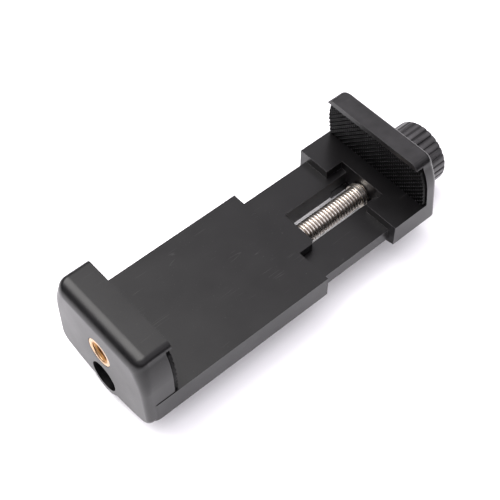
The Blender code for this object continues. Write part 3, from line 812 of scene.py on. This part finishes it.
# %% The moving jaw's block
ARM_HALF_WIDTH = 16.0 * MM
ARM_TOP = 3.8 * MM
ARM_BOTTOM = ((16.0 * MM, -0.2 * MM), (11.0 * MM, -1.3 * MM), (5.8 * MM, -2.6 * MM))
SLOT_HALF_WIDTH = 5.8 * MM
NOTCH_END = 87.6 * MM
JAW_BACK = ((97.7 * MM, 3.8 * MM), (95.7 * MM, 22.0 * MM))
BACK_TOP_ROUND = 1.3 * MM
BACK_ROUND = 1.6 * MM
MOVING_TOP_CORNER = 2.6 * MM
MOVING_LIP_X = 89.5 * MM
MOVING_SEAT = ((93.7 * MM, PLATE_TOP), (91.9 * MM, LIP_BOTTOM))
JAW_EDGE_WIDTH = 0.3 * MM
# The moving jaw's edges get more of the painted highlight than the shell's, and its top a painted
# sheen.
JAW_WEAR_AND_SHEEN = 0.8
TOP_PAINTED_SHEEN = 0.12

moving_profile = [
    (LEDGE_START, SKIRT_BOTTOM),
    (LEDGE_START, PLATE_TOP),
    *MOVING_SEAT,
    (MOVING_LIP_X, LIP_BOTTOM),
    (MOVING_LIP_X, JAW_TOP),
    (JAW_BACK[0][0], JAW_TOP),
    (JAW_BACK[0][0], SKIRT_BOTTOM),
]
moving_jaw = prism("moving_jaw", moving_profile, -wide, wide, ALONG_Y)
moving_side = jaw_side(0.0, JAW_TOP + OVERSHOOT, MOVING_TOP_CORNER)
moving_outline = mirrored([(HALF_WIDTH, SKIRT_BOTTOM - MM)] + moving_side)
(back_foot_x, back_foot_z), (back_head_x, back_head_z) = JAW_BACK
back_lean = Matrix.Identity(4)
back_lean[0][0] = -1
back_lean[0][2] = (back_head_x - back_foot_x) / (back_head_z - back_foot_z)
back_lean[0][3] = back_foot_x - back_lean[0][2] * back_foot_z
past_ledge = back_foot_x - LEDGE_START + 4 * MM
block = round_ended(moving_outline, past_ledge, (BACK_TOP_ROUND, BACK_ROUND, BACK_ROUND))
block.data.transform(back_lean)
combine(moving_jaw, "INTERSECT", outward(block))
print("moving jaw leans from x =", back_foot_x / MM, "to", back_head_x / MM, "mm at its back")

# %% Its forked arm, slot, notch and bores
arm_section = mirrored(list(reversed(ARM_BOTTOM)) + [(ARM_HALF_WIDTH, ARM_TOP)])
combine(moving_jaw, "UNION", prism("arm", arm_section, ARM_START, LEDGE_START + 0.2 * MM, ALONG_X))


def upright_box(name, start, end, half_width, low, high):
    section = [(-half_width, low), (half_width, low), (half_width, high), (-half_width, high)]
    return prism(name, section, start, end, ALONG_X)


def screw_clearance():
    return turned("clearance", [(NOTCH_END - MM, SCREW_HOLE_RADIUS), (KNOB_END, SCREW_HOLE_RADIUS)])


tall = 2 * SPINE_RADIUS
slot = upright_box("slot", ARM_START - MM, NOTCH_END, SLOT_HALF_WIDTH, -tall, tall)
notch = upright_box("notch", LEDGE_START - MM, NOTCH_END, TAB_HALF_WIDTH + GAP, ARM_TOP, tall)
combine(moving_jaw, "DIFFERENCE", slot, notch, screw_clearance())
jaw_screw_low, jaw_screw_high = clamp_box("jaw_cover_screw_2")
JAW_COVER_SCREW_X = (jaw_screw_low.x + jaw_screw_high.x) / 2
for hand in (-1, 1):
    pilot_hole(moving_jaw, JAW_COVER_SCREW_X, hand * COVER_SCREW_Y)

# %% Round its edges, paint a sheen on its top and hand it over
rounded(moving_jaw, JAW_EDGE_WIDTH, JAW_WEAR_AND_SHEEN)
wear_and_sheen_faces = moving_jaw.data.attributes["worn"].data
# The top face is painted paler: a painted sheen where the light falls on it.
for face, rubbed_and_sheen in zip(moving_jaw.data.polygons, wear_and_sheen_faces):
    if face.normal.z > 0.9 and face.center.z > JAW_TOP - 0.5 * MM:
        rubbed_and_sheen.value = TOP_PAINTED_SHEEN
hand_over(moving_jaw, "jaw", "black_plastic", "slide_jaw")

# %% [markdown]
# ## Belly covers
# Two covers close the underside: a long one over the shell's channel and a short one under
# the moving jaw. Both follow the shallow keel with a round spine, where the screw runs, and
# each is held by two countersunk screws.

# %% The covers' section, and the seats for their screws
SPINE_WALL = 0.7 * MM
SCREW_HEAD_RADIUS = 2.1 * MM
SCREW_HEAD_DEPTH = 1.0 * MM
SCREW_SHANK_RADIUS = 1.1 * MM
SCREW_FACE = screw_head_low.z
COVER_EDGE_WIDTH = 0.2 * MM


def cover_outline(hollow):
    """The keel's section; a hollow one is open above, where the arm slides."""
    top = SKIRT_BOTTOM - GAP
    outer = belly_half() + [(BELLY_EDGE, top)]
    if not hollow:
        return mirrored(outer)
    (edge, _), (knee, knee_z), (slot_edge, slot_z) = ARM_BOTTOM
    inner_line = [(slot_edge, slot_z - GAP), (knee, knee_z - GAP), (edge + GAP, top)]
    inside = spine_half(SPINE_RADIUS - SPINE_WALL, slot_z - GAP) + inner_line
    right = outer + inside[::-1]
    return right + [(-u, v) for u, v in reversed(right) if u > 1e-9]


def screw_seats(cover, x):
    """Cuts the countersunk holes of a cover's two screws."""
    head, shank = SCREW_HEAD_RADIUS + GAP / 2, SCREW_SHANK_RADIUS + GAP / 2
    profile = [
        (SCREW_FACE - 3 * MM, head),
        (SCREW_FACE, head),
        (SCREW_FACE + SCREW_HEAD_DEPTH, shank),
        (SCREW_FACE + 5 * MM, shank),
    ]
    for hand in (-1, 1):
        seat = turned("seat", profile, 32)
        combine(cover, "DIFFERENCE", moved(seat, x, hand * COVER_SCREW_Y, upright=True))


# %% Make both covers
long_cover = prism("belly_cover", cover_outline(True), cover_low.x, cover_high.x, ALONG_X)
screw_seats(long_cover, COVER_SCREW_X)
hand_over(rounded(long_cover, COVER_EDGE_WIDTH), "body", "black_plastic", "bottom_cover")

cover_end = arm_cover_high.x
cut_start = ARM_COVER_START - MM
short_cover = prism(
    "jaw_belly_cover", cover_outline(False), ARM_COVER_START, cover_end, ALONG_X
)
cover_slot = upright_box("cover_slot", cut_start, NOTCH_END, SLOT_HALF_WIDTH, -tall, tall)
corner = (HALF_WIDTH - BACK_ROUND, cover_end - BACK_ROUND)
plan_side = [(0.0, cut_start), (HALF_WIDTH, cut_start)] + arc(corner, BACK_ROUND, 0, 90, 10)
cover_plan = [(x, y) for y, x in mirrored(plan_side)]
combine(short_cover, "INTERSECT", prism("cover_plan", cover_plan, -tall, 0.0, ALONG_Z))
combine(short_cover, "DIFFERENCE", cover_slot, screw_clearance())
screw_seats(short_cover, JAW_COVER_SCREW_X)
hand_over(rounded(short_cover, COVER_EDGE_WIDTH), "jaw", "black_plastic", "jaw_cover")

# %% [markdown]
# ## Node trees that repeat a shape
# Teeth, threads, ribs and screws repeat, so Geometry Nodes make them. A small helper starts a
# tree with named inputs, and another gives a modifier its values by each socket's identifier,
# evaluates it once and keeps the plain mesh.

# %% Start a tree, and run it
def new_tree(name, **inputs):
    """A geometry tree with named inputs; returns it with its input node."""
    tree = bpy.data.node_groups.new(name, "GeometryNodeTree")
    for label, kind in inputs.items():
        tree.interface.new_socket(label, in_out="INPUT", socket_type=kind)
    tree.interface.new_socket("Geometry", in_out="OUTPUT", socket_type="NodeSocketGeometry")
    return tree, tree.nodes.new("NodeGroupInput").outputs


def end_tree(tree, geometry, finish):
    """Realize Instances, Set Material and the output."""
    real = add_node(tree, "GeometryNodeRealizeInstances", {0: geometry})
    dressed = add_node(tree, "GeometryNodeSetMaterial", {0: real.outputs[0], "Material": finish})
    add_node(tree, "NodeGroupOutput", {0: dressed.outputs[0]})
    return tree


def run_tree(name, tree, **values):
    """A new object holding the plain mesh that the tree makes from these values."""
    made = put(name, bpy.data.meshes.new(name))
    step = made.modifiers.new("shape", "NODES")
    step.node_group = tree
    sockets = {item.name: item for item in tree.interface.items_tree if item.in_out == "INPUT"}
    for label, value in values.items():
        step[sockets[label].identifier] = value
    return baked(made)


NUMBER, WHOLE, FINISH = "NodeSocketFloat", "NodeSocketInt", "NodeSocketMaterial"
PLACE = "NodeSocketVector"


# %% Read a point's place, weld points that meet, and keep a number for a finish to read
def point_place(tree):
    position = add_node(tree, "GeometryNodeInputPosition").outputs[0]
    return add_node(tree, "ShaderNodeSeparateXYZ", {0: position}).outputs


def welded(tree, geometry):
    inputs = {"Geometry": geometry, "Distance": WELD / 2}
    return add_node(tree, "GeometryNodeMergeByDistance", inputs).outputs[0]


def store(tree, geometry, name, value):
    made = add_node(
        tree,
        "GeometryNodeStoreNamedAttribute",
        {"Geometry": geometry, "Name": name, "Value": value},
        data_type="FLOAT",
        domain="POINT",
    )
    return made.outputs[0]


# %% [markdown]
# ## Rubber pads
# Each jaw is faced with a thin rubber pad, moulded with fine notched ridges that grip the
# phone. The tree makes a slab whose top is raised by two zigzags: one across it makes the
# ridges, and one along them cuts each ridge down to half its height between its teeth. The
# slab is turned by half a right angle and cut to the pad's outline, so that the ridges run
# off its edges as they do on a pad cut from a sheet.

# %% A tree for a slab of notched ridges
def zigzag(tree, value, pitch):
    """Rises from 0 to 1 and falls back, once each pitch."""
    turns = math_node(tree, "DIVIDE", value, pitch)
    wave = math_node(tree, "PINGPONG", turns, 0.5)
    return times(tree, wave, 2.0)


def teeth_tree():
    tree, given = new_tree(
        "notched_ridges", Side=NUMBER, Teeth=WHOLE, Base=NUMBER, Height=NUMBER, Finish=FINISH
    )
    side = given["Side"]
    dots = math_node(tree, "MULTIPLY_ADD", given["Teeth"], 2.0, 1.0)
    size = {"Size X": side, "Size Y": side, "Vertices X": dots, "Vertices Y": dots}
    sheet = add_node(tree, "GeometryNodeMeshGrid", size).outputs["Mesh"]
    up = add_node(tree, "ShaderNodeCombineXYZ", {"Z": given["Base"]}).outputs[0]
    lifted = {"Mesh": sheet, "Offset": up, "Offset Scale": 1.0, "Individual": False}
    slab = add_node(tree, "GeometryNodeExtrudeMesh", lifted)
    pitch = math_node(tree, "DIVIDE", side, given["Teeth"])
    half = times(tree, side, 0.5)
    place = point_place(tree)
    along, across = (zigzag(tree, plus(tree, place[axis], half), pitch) for axis in ("X", "Y"))
    peak = times(tree, across, math_node(tree, "MULTIPLY_ADD", along, 0.5, 0.5))
    rise = times(tree, peak, given["Height"])
    offset = add_node(tree, "ShaderNodeCombineXYZ", {"Z": rise}).outputs[0]
    toothed = add_node(
        tree,
        "GeometryNodeSetPosition",
        {"Geometry": slab.outputs["Mesh"], "Selection": slab.outputs["Top"], "Offset": offset},
    )
    # The tip number lets the rubber finish paint the tips paler, as rub and as a painted highlight.
    tipped = store(tree, toothed.outputs[0], "tip", times(tree, peak, slab.outputs["Top"]))
    under = add_node(tree, "GeometryNodeFlipFaces", {"Mesh": sheet}).outputs[0]
    both = add_node(tree, "GeometryNodeJoinGeometry")
    tree.links.new(tipped, both.inputs[0])
    tree.links.new(under, both.inputs[0])
    return end_tree(tree, welded(tree, both.outputs[0]), given["Finish"])


# %% Cut a pad from the toothed slab
TOOTH_PITCH = 1.15 * MM
TOOTH_HEIGHT = 0.45 * MM
PAD_THICKNESS = 1.1 * MM
PAD_MARGIN = 0.5 * MM
SLAB_TEETH = 36
pad_teeth = teeth_tree()
pad_height = LIP_BOTTOM - PLATE_TOP - 2 * GAP


def toothed_pad(name, foot_x, lean, facing):
    """A pad standing on the plate, teeth towards facing (1 for +x), its top leaning to -x."""
    pad = run_tree(
        name,
        pad_teeth,
        Side=SLAB_TEETH * TOOTH_PITCH,
        Teeth=SLAB_TEETH,
        Base=PAD_THICKNESS - TOOTH_HEIGHT,
        Height=TOOTH_HEIGHT,
        Finish=FINISHES["rubber"],
    )
    upright = ALONG_X if facing > 0 else ALONG_X @ Matrix.Rotation(math.pi, 4, "Y")
    slanted = upright @ Matrix.Rotation(math.pi / 4, 4, "Z")
    pad.data.transform(Matrix.Translation((0, 0, pad_height / 2)) @ slanted)
    side = [(u, v - PLATE_TOP) for u, v in jaw_side(PAD_MARGIN, PLATE_TOP + pad_height + GAP)]
    cut = mirrored([(HALF_WIDTH - PAD_MARGIN, GAP)] + side)
    combine(pad, "INTERSECT", prism("cut", cut, -2 * PAD_THICKNESS, 2 * PAD_THICKNESS, ALONG_X))
    pad.data.transform(Matrix.Translation((foot_x, 0, PLATE_TOP)) @ Matrix.Rotation(-lean, 4, "Y"))
    return pad


seat_foot, seat_head = MOVING_SEAT
lean = math.atan2(seat_foot[0] - seat_head[0], seat_head[1] - seat_foot[1])
fixed_pad = toothed_pad("fixed_pad", SEAT_X + GAP, 0, 1)
hand_over(fixed_pad, "body", "rubber", "fixed_jaw_pad")
moving_pad = toothed_pad("moving_pad", seat_foot[0] - GAP, lean, -1)
hand_over(moving_pad, "jaw", "rubber", "moving_jaw_pad")

# %% [markdown]
# ## Threads
# The lead screw is a nickel-plated rod with a coarse metric thread, and the brass insert is
# tapped for a camera screw. One tree makes both: a sheet is rolled into a tube, and each
# point's radius follows the thread's flanks, a zigzag of its place along the axis less the
# turn that it has made. The tube's end rows are drawn in to the axis, so the rod is closed.

# %% Roll a flat sheet into a closed tube
def flat_sheet(tree, given):
    """A sheet, and each point's place along it, turn (0 to 1) and distance from an end."""
    size = {"Size X": given["Length"], "Size Y": 1.0}
    dots = {"Vertices X": given["Rows"], "Vertices Y": given["Columns"]}
    sheet = add_node(tree, "GeometryNodeMeshGrid", {**size, **dots}).outputs["Mesh"]
    place = point_place(tree)
    x = math_node(tree, "MULTIPLY_ADD", given["Length"], 0.5, place["X"])
    turn = plus(tree, place["Y"], 0.5)
    from_end = math_node(tree, "MINIMUM", x, minus(tree, given["Length"], x))
    return sheet, x, turn, from_end


def rolled_up(tree, given, sheet, x, from_end, radius, angle):
    """The tree's end: the sheet bent round the axis, its end rows drawn in to a point."""
    inside = math_node(tree, "GREATER_THAN", from_end, 1e-7)
    reach = times(tree, radius, inside)
    bent = add_node(
        tree,
        "ShaderNodeCombineXYZ",
        {
            "X": plus(tree, x, given["Start"]),
            "Y": times(tree, reach, math_node(tree, "COSINE", angle)),
            "Z": times(tree, reach, math_node(tree, "SINE", angle)),
        },
    ).outputs[0]
    tube = add_node(tree, "GeometryNodeSetPosition", {"Geometry": sheet, "Position": bent})
    return end_tree(tree, welded(tree, tube.outputs[0]), given["Finish"])


# %% A tree for a threaded rod
FLANK_END = 0.92


def thread_tree():
    tree, given = new_tree(
        "threaded_rod",
        Start=NUMBER, Length=NUMBER, Rows=WHOLE, Columns=WHOLE, Pitch=NUMBER,
        Crest=NUMBER, Root=NUMBER, Land=NUMBER, Chamfer=NUMBER, Finish=FINISH,
    )
    crest = given["Crest"]
    sheet, x, turn, from_end = flat_sheet(tree, given)
    pitches = math_node(tree, "DIVIDE", x, given["Pitch"])
    wave = zigzag(tree, minus(tree, pitches, turn), 1.0)
    flank = remap(tree, wave, given["Land"], FLANK_END, crest, given["Root"], "SMOOTHSTEP")
    cone = plus(tree, minus(tree, crest, given["Chamfer"]), from_end)
    radius = math_node(tree, "MINIMUM", flank, cone)
    marked = store(tree, sheet, "deep", remap(tree, wave, 0.2, 0.85, 0.0, 1.0))
    angle = times(tree, turn, 2 * math.pi)
    return rolled_up(tree, given, marked, x, from_end, radius, angle)


# %% Lead screw: the threaded rod, two ring grooves and the hex head
SCREW_RADIUS = 3.0 * MM
THREAD_ROOT = 2.68 * MM
SCREW_PITCH = 1.0 * MM
ROWS_PER_TURN = 12
THREAD_COLUMNS = 49
SCREW_LAND = 0.3
SCREW_CHAMFER = 0.6 * MM
GROOVE_RADIUS = 2.3 * MM
HEAD_START = 101.5 * MM
HEAD_RADIUS = 5.6 * MM
screw_low, screw_high = clamp_box("lead_screw")
clip_low, clip_high = clamp_box("screw_end_clip")
collar_low, collar_high = clamp_box("thrust_collar")
thread = thread_tree()


def hexagon(radius):
    return arc((0, 0), radius, 0, 300, 5)


rod_length = HEAD_START + 0.2 * MM - screw_low.x
rod = run_tree(
    "lead_screw_threaded",
    thread,
    Start=screw_low.x,
    Length=rod_length,
    Rows=round(rod_length / SCREW_PITCH * ROWS_PER_TURN),
    Columns=THREAD_COLUMNS,
    Pitch=SCREW_PITCH,
    Crest=SCREW_RADIUS,
    Root=THREAD_ROOT,
    Land=SCREW_LAND,
    Chamfer=SCREW_CHAMFER,
    Finish=FINISHES["nickel"],
)
outward(rod)
for low, high in ((clip_low.x, clip_high.x), (collar_low.x, collar_high.x)):
    start, end = low - GAP / 2, high + GAP / 2
    ring = [(start, GROOVE_RADIUS), (start, 4 * MM), (end, 4 * MM), (end, GROOVE_RADIUS)]
    combine(rod, "DIFFERENCE", turned("ring", ring, 64, closed=True))
combine(rod, "UNION", prism("head", hexagon(HEAD_RADIUS), HEAD_START, screw_high.x, ALONG_X))
hand_over(smooth(rod, 50), "screw", "nickel", "lead_screw")

# %% [markdown]
# ## Rings on the screw
# A grooved collar next to the jaw and a clip behind the nut keep the screw from running out,
# and a washer takes the knob's thrust. They are plain turned rings with broken edges.

# %% Turn the rings and the nut
RING_BORE = 2.6 * MM
SLEEVE_BORE = SCREW_RADIUS + GAP
RING_EDGE = 0.12 * MM
COLLAR_EDGE = 0.15 * MM
NUT_EDGE = 0.25 * MM


def turned_ring(name, low_x, high_x, radius, bore, chamfer, waist=0.0):
    """A ring with its outer edges broken and, if asked, a groove round its middle."""
    middle = (low_x + high_x) / 2
    outer = [(low_x, radius - chamfer), (low_x + chamfer, radius)]
    if waist:
        outer += [(middle - waist, radius), (middle - waist / 2, radius - waist)]
        outer += [(middle + waist / 2, radius - waist), (middle + waist, radius)]
    outer += [(high_x - chamfer, radius), (high_x, radius - chamfer)]
    inner = [(high_x, bore + chamfer / 2), (high_x - chamfer / 2, bore)]
    inner += [(low_x + chamfer / 2, bore), (low_x, bore + chamfer / 2)]
    return smooth(turned(name, outer + inner, 96, closed=True), 25)


for name, node, bore, chamfer, waist in (
    ("grooved_collar", "thrust_collar", RING_BORE, COLLAR_EDGE, COLLAR_EDGE),
    ("end_clip", "screw_end_clip", RING_BORE, RING_EDGE, 0.0),
    ("knob_washer", "thrust_washer", SLEEVE_BORE, RING_EDGE, 0.0),
):
    low, high = clamp_box(node)
    ring = turned_ring(name, low.x, high.x, high.y, bore, chamfer, waist)
    hand_over(ring, "screw", "nickel", node)
nut = turned_ring("brass_nut", nut_low.x, nut_high.x, NUT_RADIUS, SLEEVE_BORE, NUT_EDGE)
hand_over(nut, "body", "brass", "screw_nut")

# %% [markdown]
# ## Tripod insert
# A brass sleeve is pressed into the jaw, flush with the end face. Its mouth is countersunk
# and its bore is tapped: the thread tree makes a plug of the camera thread, a quarter inch
# across with twenty turns to the inch, and the plug is cut out of the sleeve.

# %% Turn the sleeve and tap it
INCH = 25.4 * MM
TRIPOD_CREST = INCH / 8
TRIPOD_ROOT = 2.62 * MM
TRIPOD_PITCH = INCH / 20
TRIPOD_LAND = 0.15
MOUTH_CHAMFER = 0.55 * MM

plug_length = insert_high.x - insert_low.x + 4 * MM
plug = run_tree(
    "plug",
    thread,
    Start=insert_low.x - 2 * MM,
    Length=plug_length,
    Rows=round(plug_length / TRIPOD_PITCH * ROWS_PER_TURN),
    Columns=THREAD_COLUMNS,
    Pitch=TRIPOD_PITCH,
    Crest=TRIPOD_CREST,
    Root=TRIPOD_ROOT,
    Land=TRIPOD_LAND,
    Chamfer=0.0,
    Finish=FINISHES["brass"],
)
sleeve_profile = [
    (insert_low.x, INSERT_RADIUS - 0.1 * MM),
    (insert_low.x + 0.1 * MM, INSERT_RADIUS),
    (insert_high.x, INSERT_RADIUS),
]
mouth = [
    (insert_low.x - MM, TRIPOD_CREST + MOUTH_CHAMFER / 3 + MM),
    (insert_low.x + MOUTH_CHAMFER, TRIPOD_CREST - MOUTH_CHAMFER),
]
sleeve = turned("tapped_insert", sleeve_profile, 96)
combine(sleeve, "DIFFERENCE", turned("mouth", mouth, 96), outward(plug))
hand_over(smooth(moved(sleeve, z=INSERT_Z), 40), "body", "brass", "tripod_insert")

# %% [markdown]
# ## Knob
# The knob's rim has straight ribs with round crests and narrow grooves. Its tree rolls a
# sheet into a drum: the radius falls away at both ends in a quarter round, and each groove is
# a notch that comes back once every rib. Bore, pocket for the screw's head and recess for the
# cap are then cut on the axis.

# %% A tree for a ribbed drum
# The ribs are painted paler, most on their crests: partly rubbing, partly a painted sheen.
RIB_WEAR_AND_SHEEN = 0.45
RIB_CROWN = 0.25


def drum_tree():
    tree, given = new_tree(
        "ribbed_drum",
        Start=NUMBER, Length=NUMBER, Rows=WHOLE, Columns=WHOLE, Radius=NUMBER,
        Ribs=WHOLE, Groove=NUMBER, Soft=NUMBER, Finish=FINISH,
    )
    groove, soft = given["Groove"], given["Soft"]
    sheet, x, turn, from_end = flat_sheet(tree, given)
    wave = zigzag(tree, times(tree, turn, given["Ribs"]), 1.0)
    notch_depth = remap(tree, wave, 0.68, 0.92, 0.0, groove)
    crown = times(tree, math_node(tree, "POWER", wave, 2.0), times(tree, groove, RIB_CROWN))
    rim = minus(tree, minus(tree, given["Radius"], notch_depth), crown)
    short = math_node(tree, "MAXIMUM", minus(tree, soft, from_end), 0.0)
    left = minus(tree, times(tree, soft, soft), times(tree, short, short))
    fall = minus(tree, soft, math_node(tree, "SQRT", left))
    # The worn number paints the crests paler than the grooves.
    rubbed_and_sheen = store(tree, sheet, "worn", remap(tree, wave, 0.3, 0.75, RIB_WEAR_AND_SHEEN, RIB_WEAR_AND_SHEEN / 3))
    angle = math_node(tree, "MULTIPLY_ADD", turn, 2 * math.pi, -math.pi / 2)
    return rolled_up(tree, given, rubbed_and_sheen, x, from_end, minus(tree, rim, fall), angle)


# %% Roll the knob and cut its middle
RIB_COUNT = 28
RIB_COLUMNS = 12
KNOB_ROWS = 60
GROOVE_DEPTH = 0.24 * MM
DRUM_ROUND = 1.0 * MM
cap_low, cap_high = clamp_box("knob_cap")
washer_high = clamp_box("thrust_washer")[1]
CAP_RADIUS = cap_high.y
CAP_START = 109.3 * MM
WEB_END = HEAD_START - GAP

knob = run_tree(
    "ribbed_knob",
    drum_tree(),
    Start=KNOB_START,
    Length=KNOB_END - KNOB_START,
    Rows=KNOB_ROWS,
    Columns=RIB_COUNT * RIB_COLUMNS + 1,
    Radius=KNOB_RADIUS,
    Ribs=RIB_COUNT,
    Groove=GROOVE_DEPTH,
    Soft=DRUM_ROUND,
    Finish=FINISHES["black_plastic"],
)
outward(knob)
washer_pocket = turned(
    "washer_pocket",
    [
        (KNOB_START - MM, washer_high.y + GAP),
        (washer_high.x + GAP, washer_high.y + GAP),
        (washer_high.x + GAP, SLEEVE_BORE),
        (WEB_END + MM, SLEEVE_BORE),
    ],
)
head_pocket = prism("head_pocket", hexagon(HEAD_RADIUS + GAP), WEB_END, CAP_START, ALONG_X)
recess_radius = CAP_RADIUS + GAP / 2
cap_recess = turned(
    "cap_recess", [(CAP_START - GAP, recess_radius), (KNOB_END + MM, recess_radius)]
)
combine(knob, "DIFFERENCE", washer_pocket, head_pocket, cap_recess)
hand_over(smooth(knob, 40), "screw", "black_plastic", "knob")

# %% Turn the domed cap
PLUG_RADIUS = 4.6 * MM
DOME_RISE = 0.5 * MM
DOME_STEPS = 10
dome_turns = [math.pi / 2 * step / DOME_STEPS for step in range(DOME_STEPS, 0, -1)]
dome = [
    (cap_high.x - DOME_RISE * (1 - math.cos(turn)), CAP_RADIUS * math.sin(turn))
    for turn in dome_turns
]
cap_profile = [(cap_low.x, PLUG_RADIUS), (CAP_START, PLUG_RADIUS), (CAP_START, CAP_RADIUS)] + dome
cap = smooth(turned("domed_cap", cap_profile, 96), 40)
hand_over(cap, "screw", "black_plastic", "knob_cap")

# %% [markdown]
# ## Cover screws
# Four small black self-tapping screws hold the covers. One screw is turned and its cross
# recess is cut; a short tree then sets a copy at each place along a line across the clamp.

# %% One screw
SCREW_TIP = screw_head_high.z
RECESS_LENGTH, RECESS_WIDTH, RECESS_DEPTH = 2.4 * MM, 0.5 * MM, 0.5 * MM

first_screw = turned(
    "first_screw",
    [
        (SCREW_FACE, SCREW_HEAD_RADIUS - 0.1 * MM),
        (SCREW_FACE + 0.1 * MM, SCREW_HEAD_RADIUS - 0.05 * MM),
        (SCREW_FACE + SCREW_HEAD_DEPTH, SCREW_SHANK_RADIUS),
        (SCREW_TIP - MM, SCREW_SHANK_RADIUS),
        (SCREW_TIP, 0.3 * MM),
    ],
    32,
)
moved(first_screw, upright=True)
recess_top = SCREW_FACE + RECESS_DEPTH
half_long, half_narrow = RECESS_LENGTH / 2, RECESS_WIDTH / 2
for x, y in ((half_long, half_narrow), (half_narrow, half_long)):
    cross = [(-x, -y), (x, -y), (x, y), (-x, y)]
    recess = prism("recess", cross, SCREW_FACE - MM, recess_top, ALONG_Z)
    combine(first_screw, "DIFFERENCE", recess)
smooth(first_screw, 30)


# %% A tree that sets copies in a line
def copies_tree():
    tree, given = new_tree(
        "copies", Piece="NodeSocketObject", Count=WHOLE, First=PLACE, Step=PLACE, Finish=FINISH
    )
    piece = add_node(tree, "GeometryNodeObjectInfo", {"Object": given["Piece"]}).outputs["Geometry"]
    line = add_node(
        tree,
        "GeometryNodeMeshLine",
        {"Count": given["Count"], "Start Location": given["First"], "Offset": given["Step"]},
    ).outputs["Mesh"]
    copies = add_node(tree, "GeometryNodeInstanceOnPoints", {"Points": line, "Instance": piece})
    return end_tree(tree, copies.outputs[0], given["Finish"])


screws = copies_tree()
for name, body, x, replaced in (
    ("cover_screws", "body", COVER_SCREW_X, ("cover_screw_1", "cover_screw_2")),
    ("jaw_cover_screws", "jaw", JAW_COVER_SCREW_X, ("jaw_cover_screw_1", "jaw_cover_screw_2")),
):
    pair = run_tree(
        name,
        screws,
        Piece=first_screw,
        Count=2,
        First=(x, -COVER_SCREW_Y, 0.0),
        Step=(0.0, 2 * COVER_SCREW_Y, 0.0),
        Finish=FINISHES["black_steel"],
    )
    hand_over(smooth(pair, 30), body, "black_steel", *replaced)
bpy.data.objects.remove(first_screw)
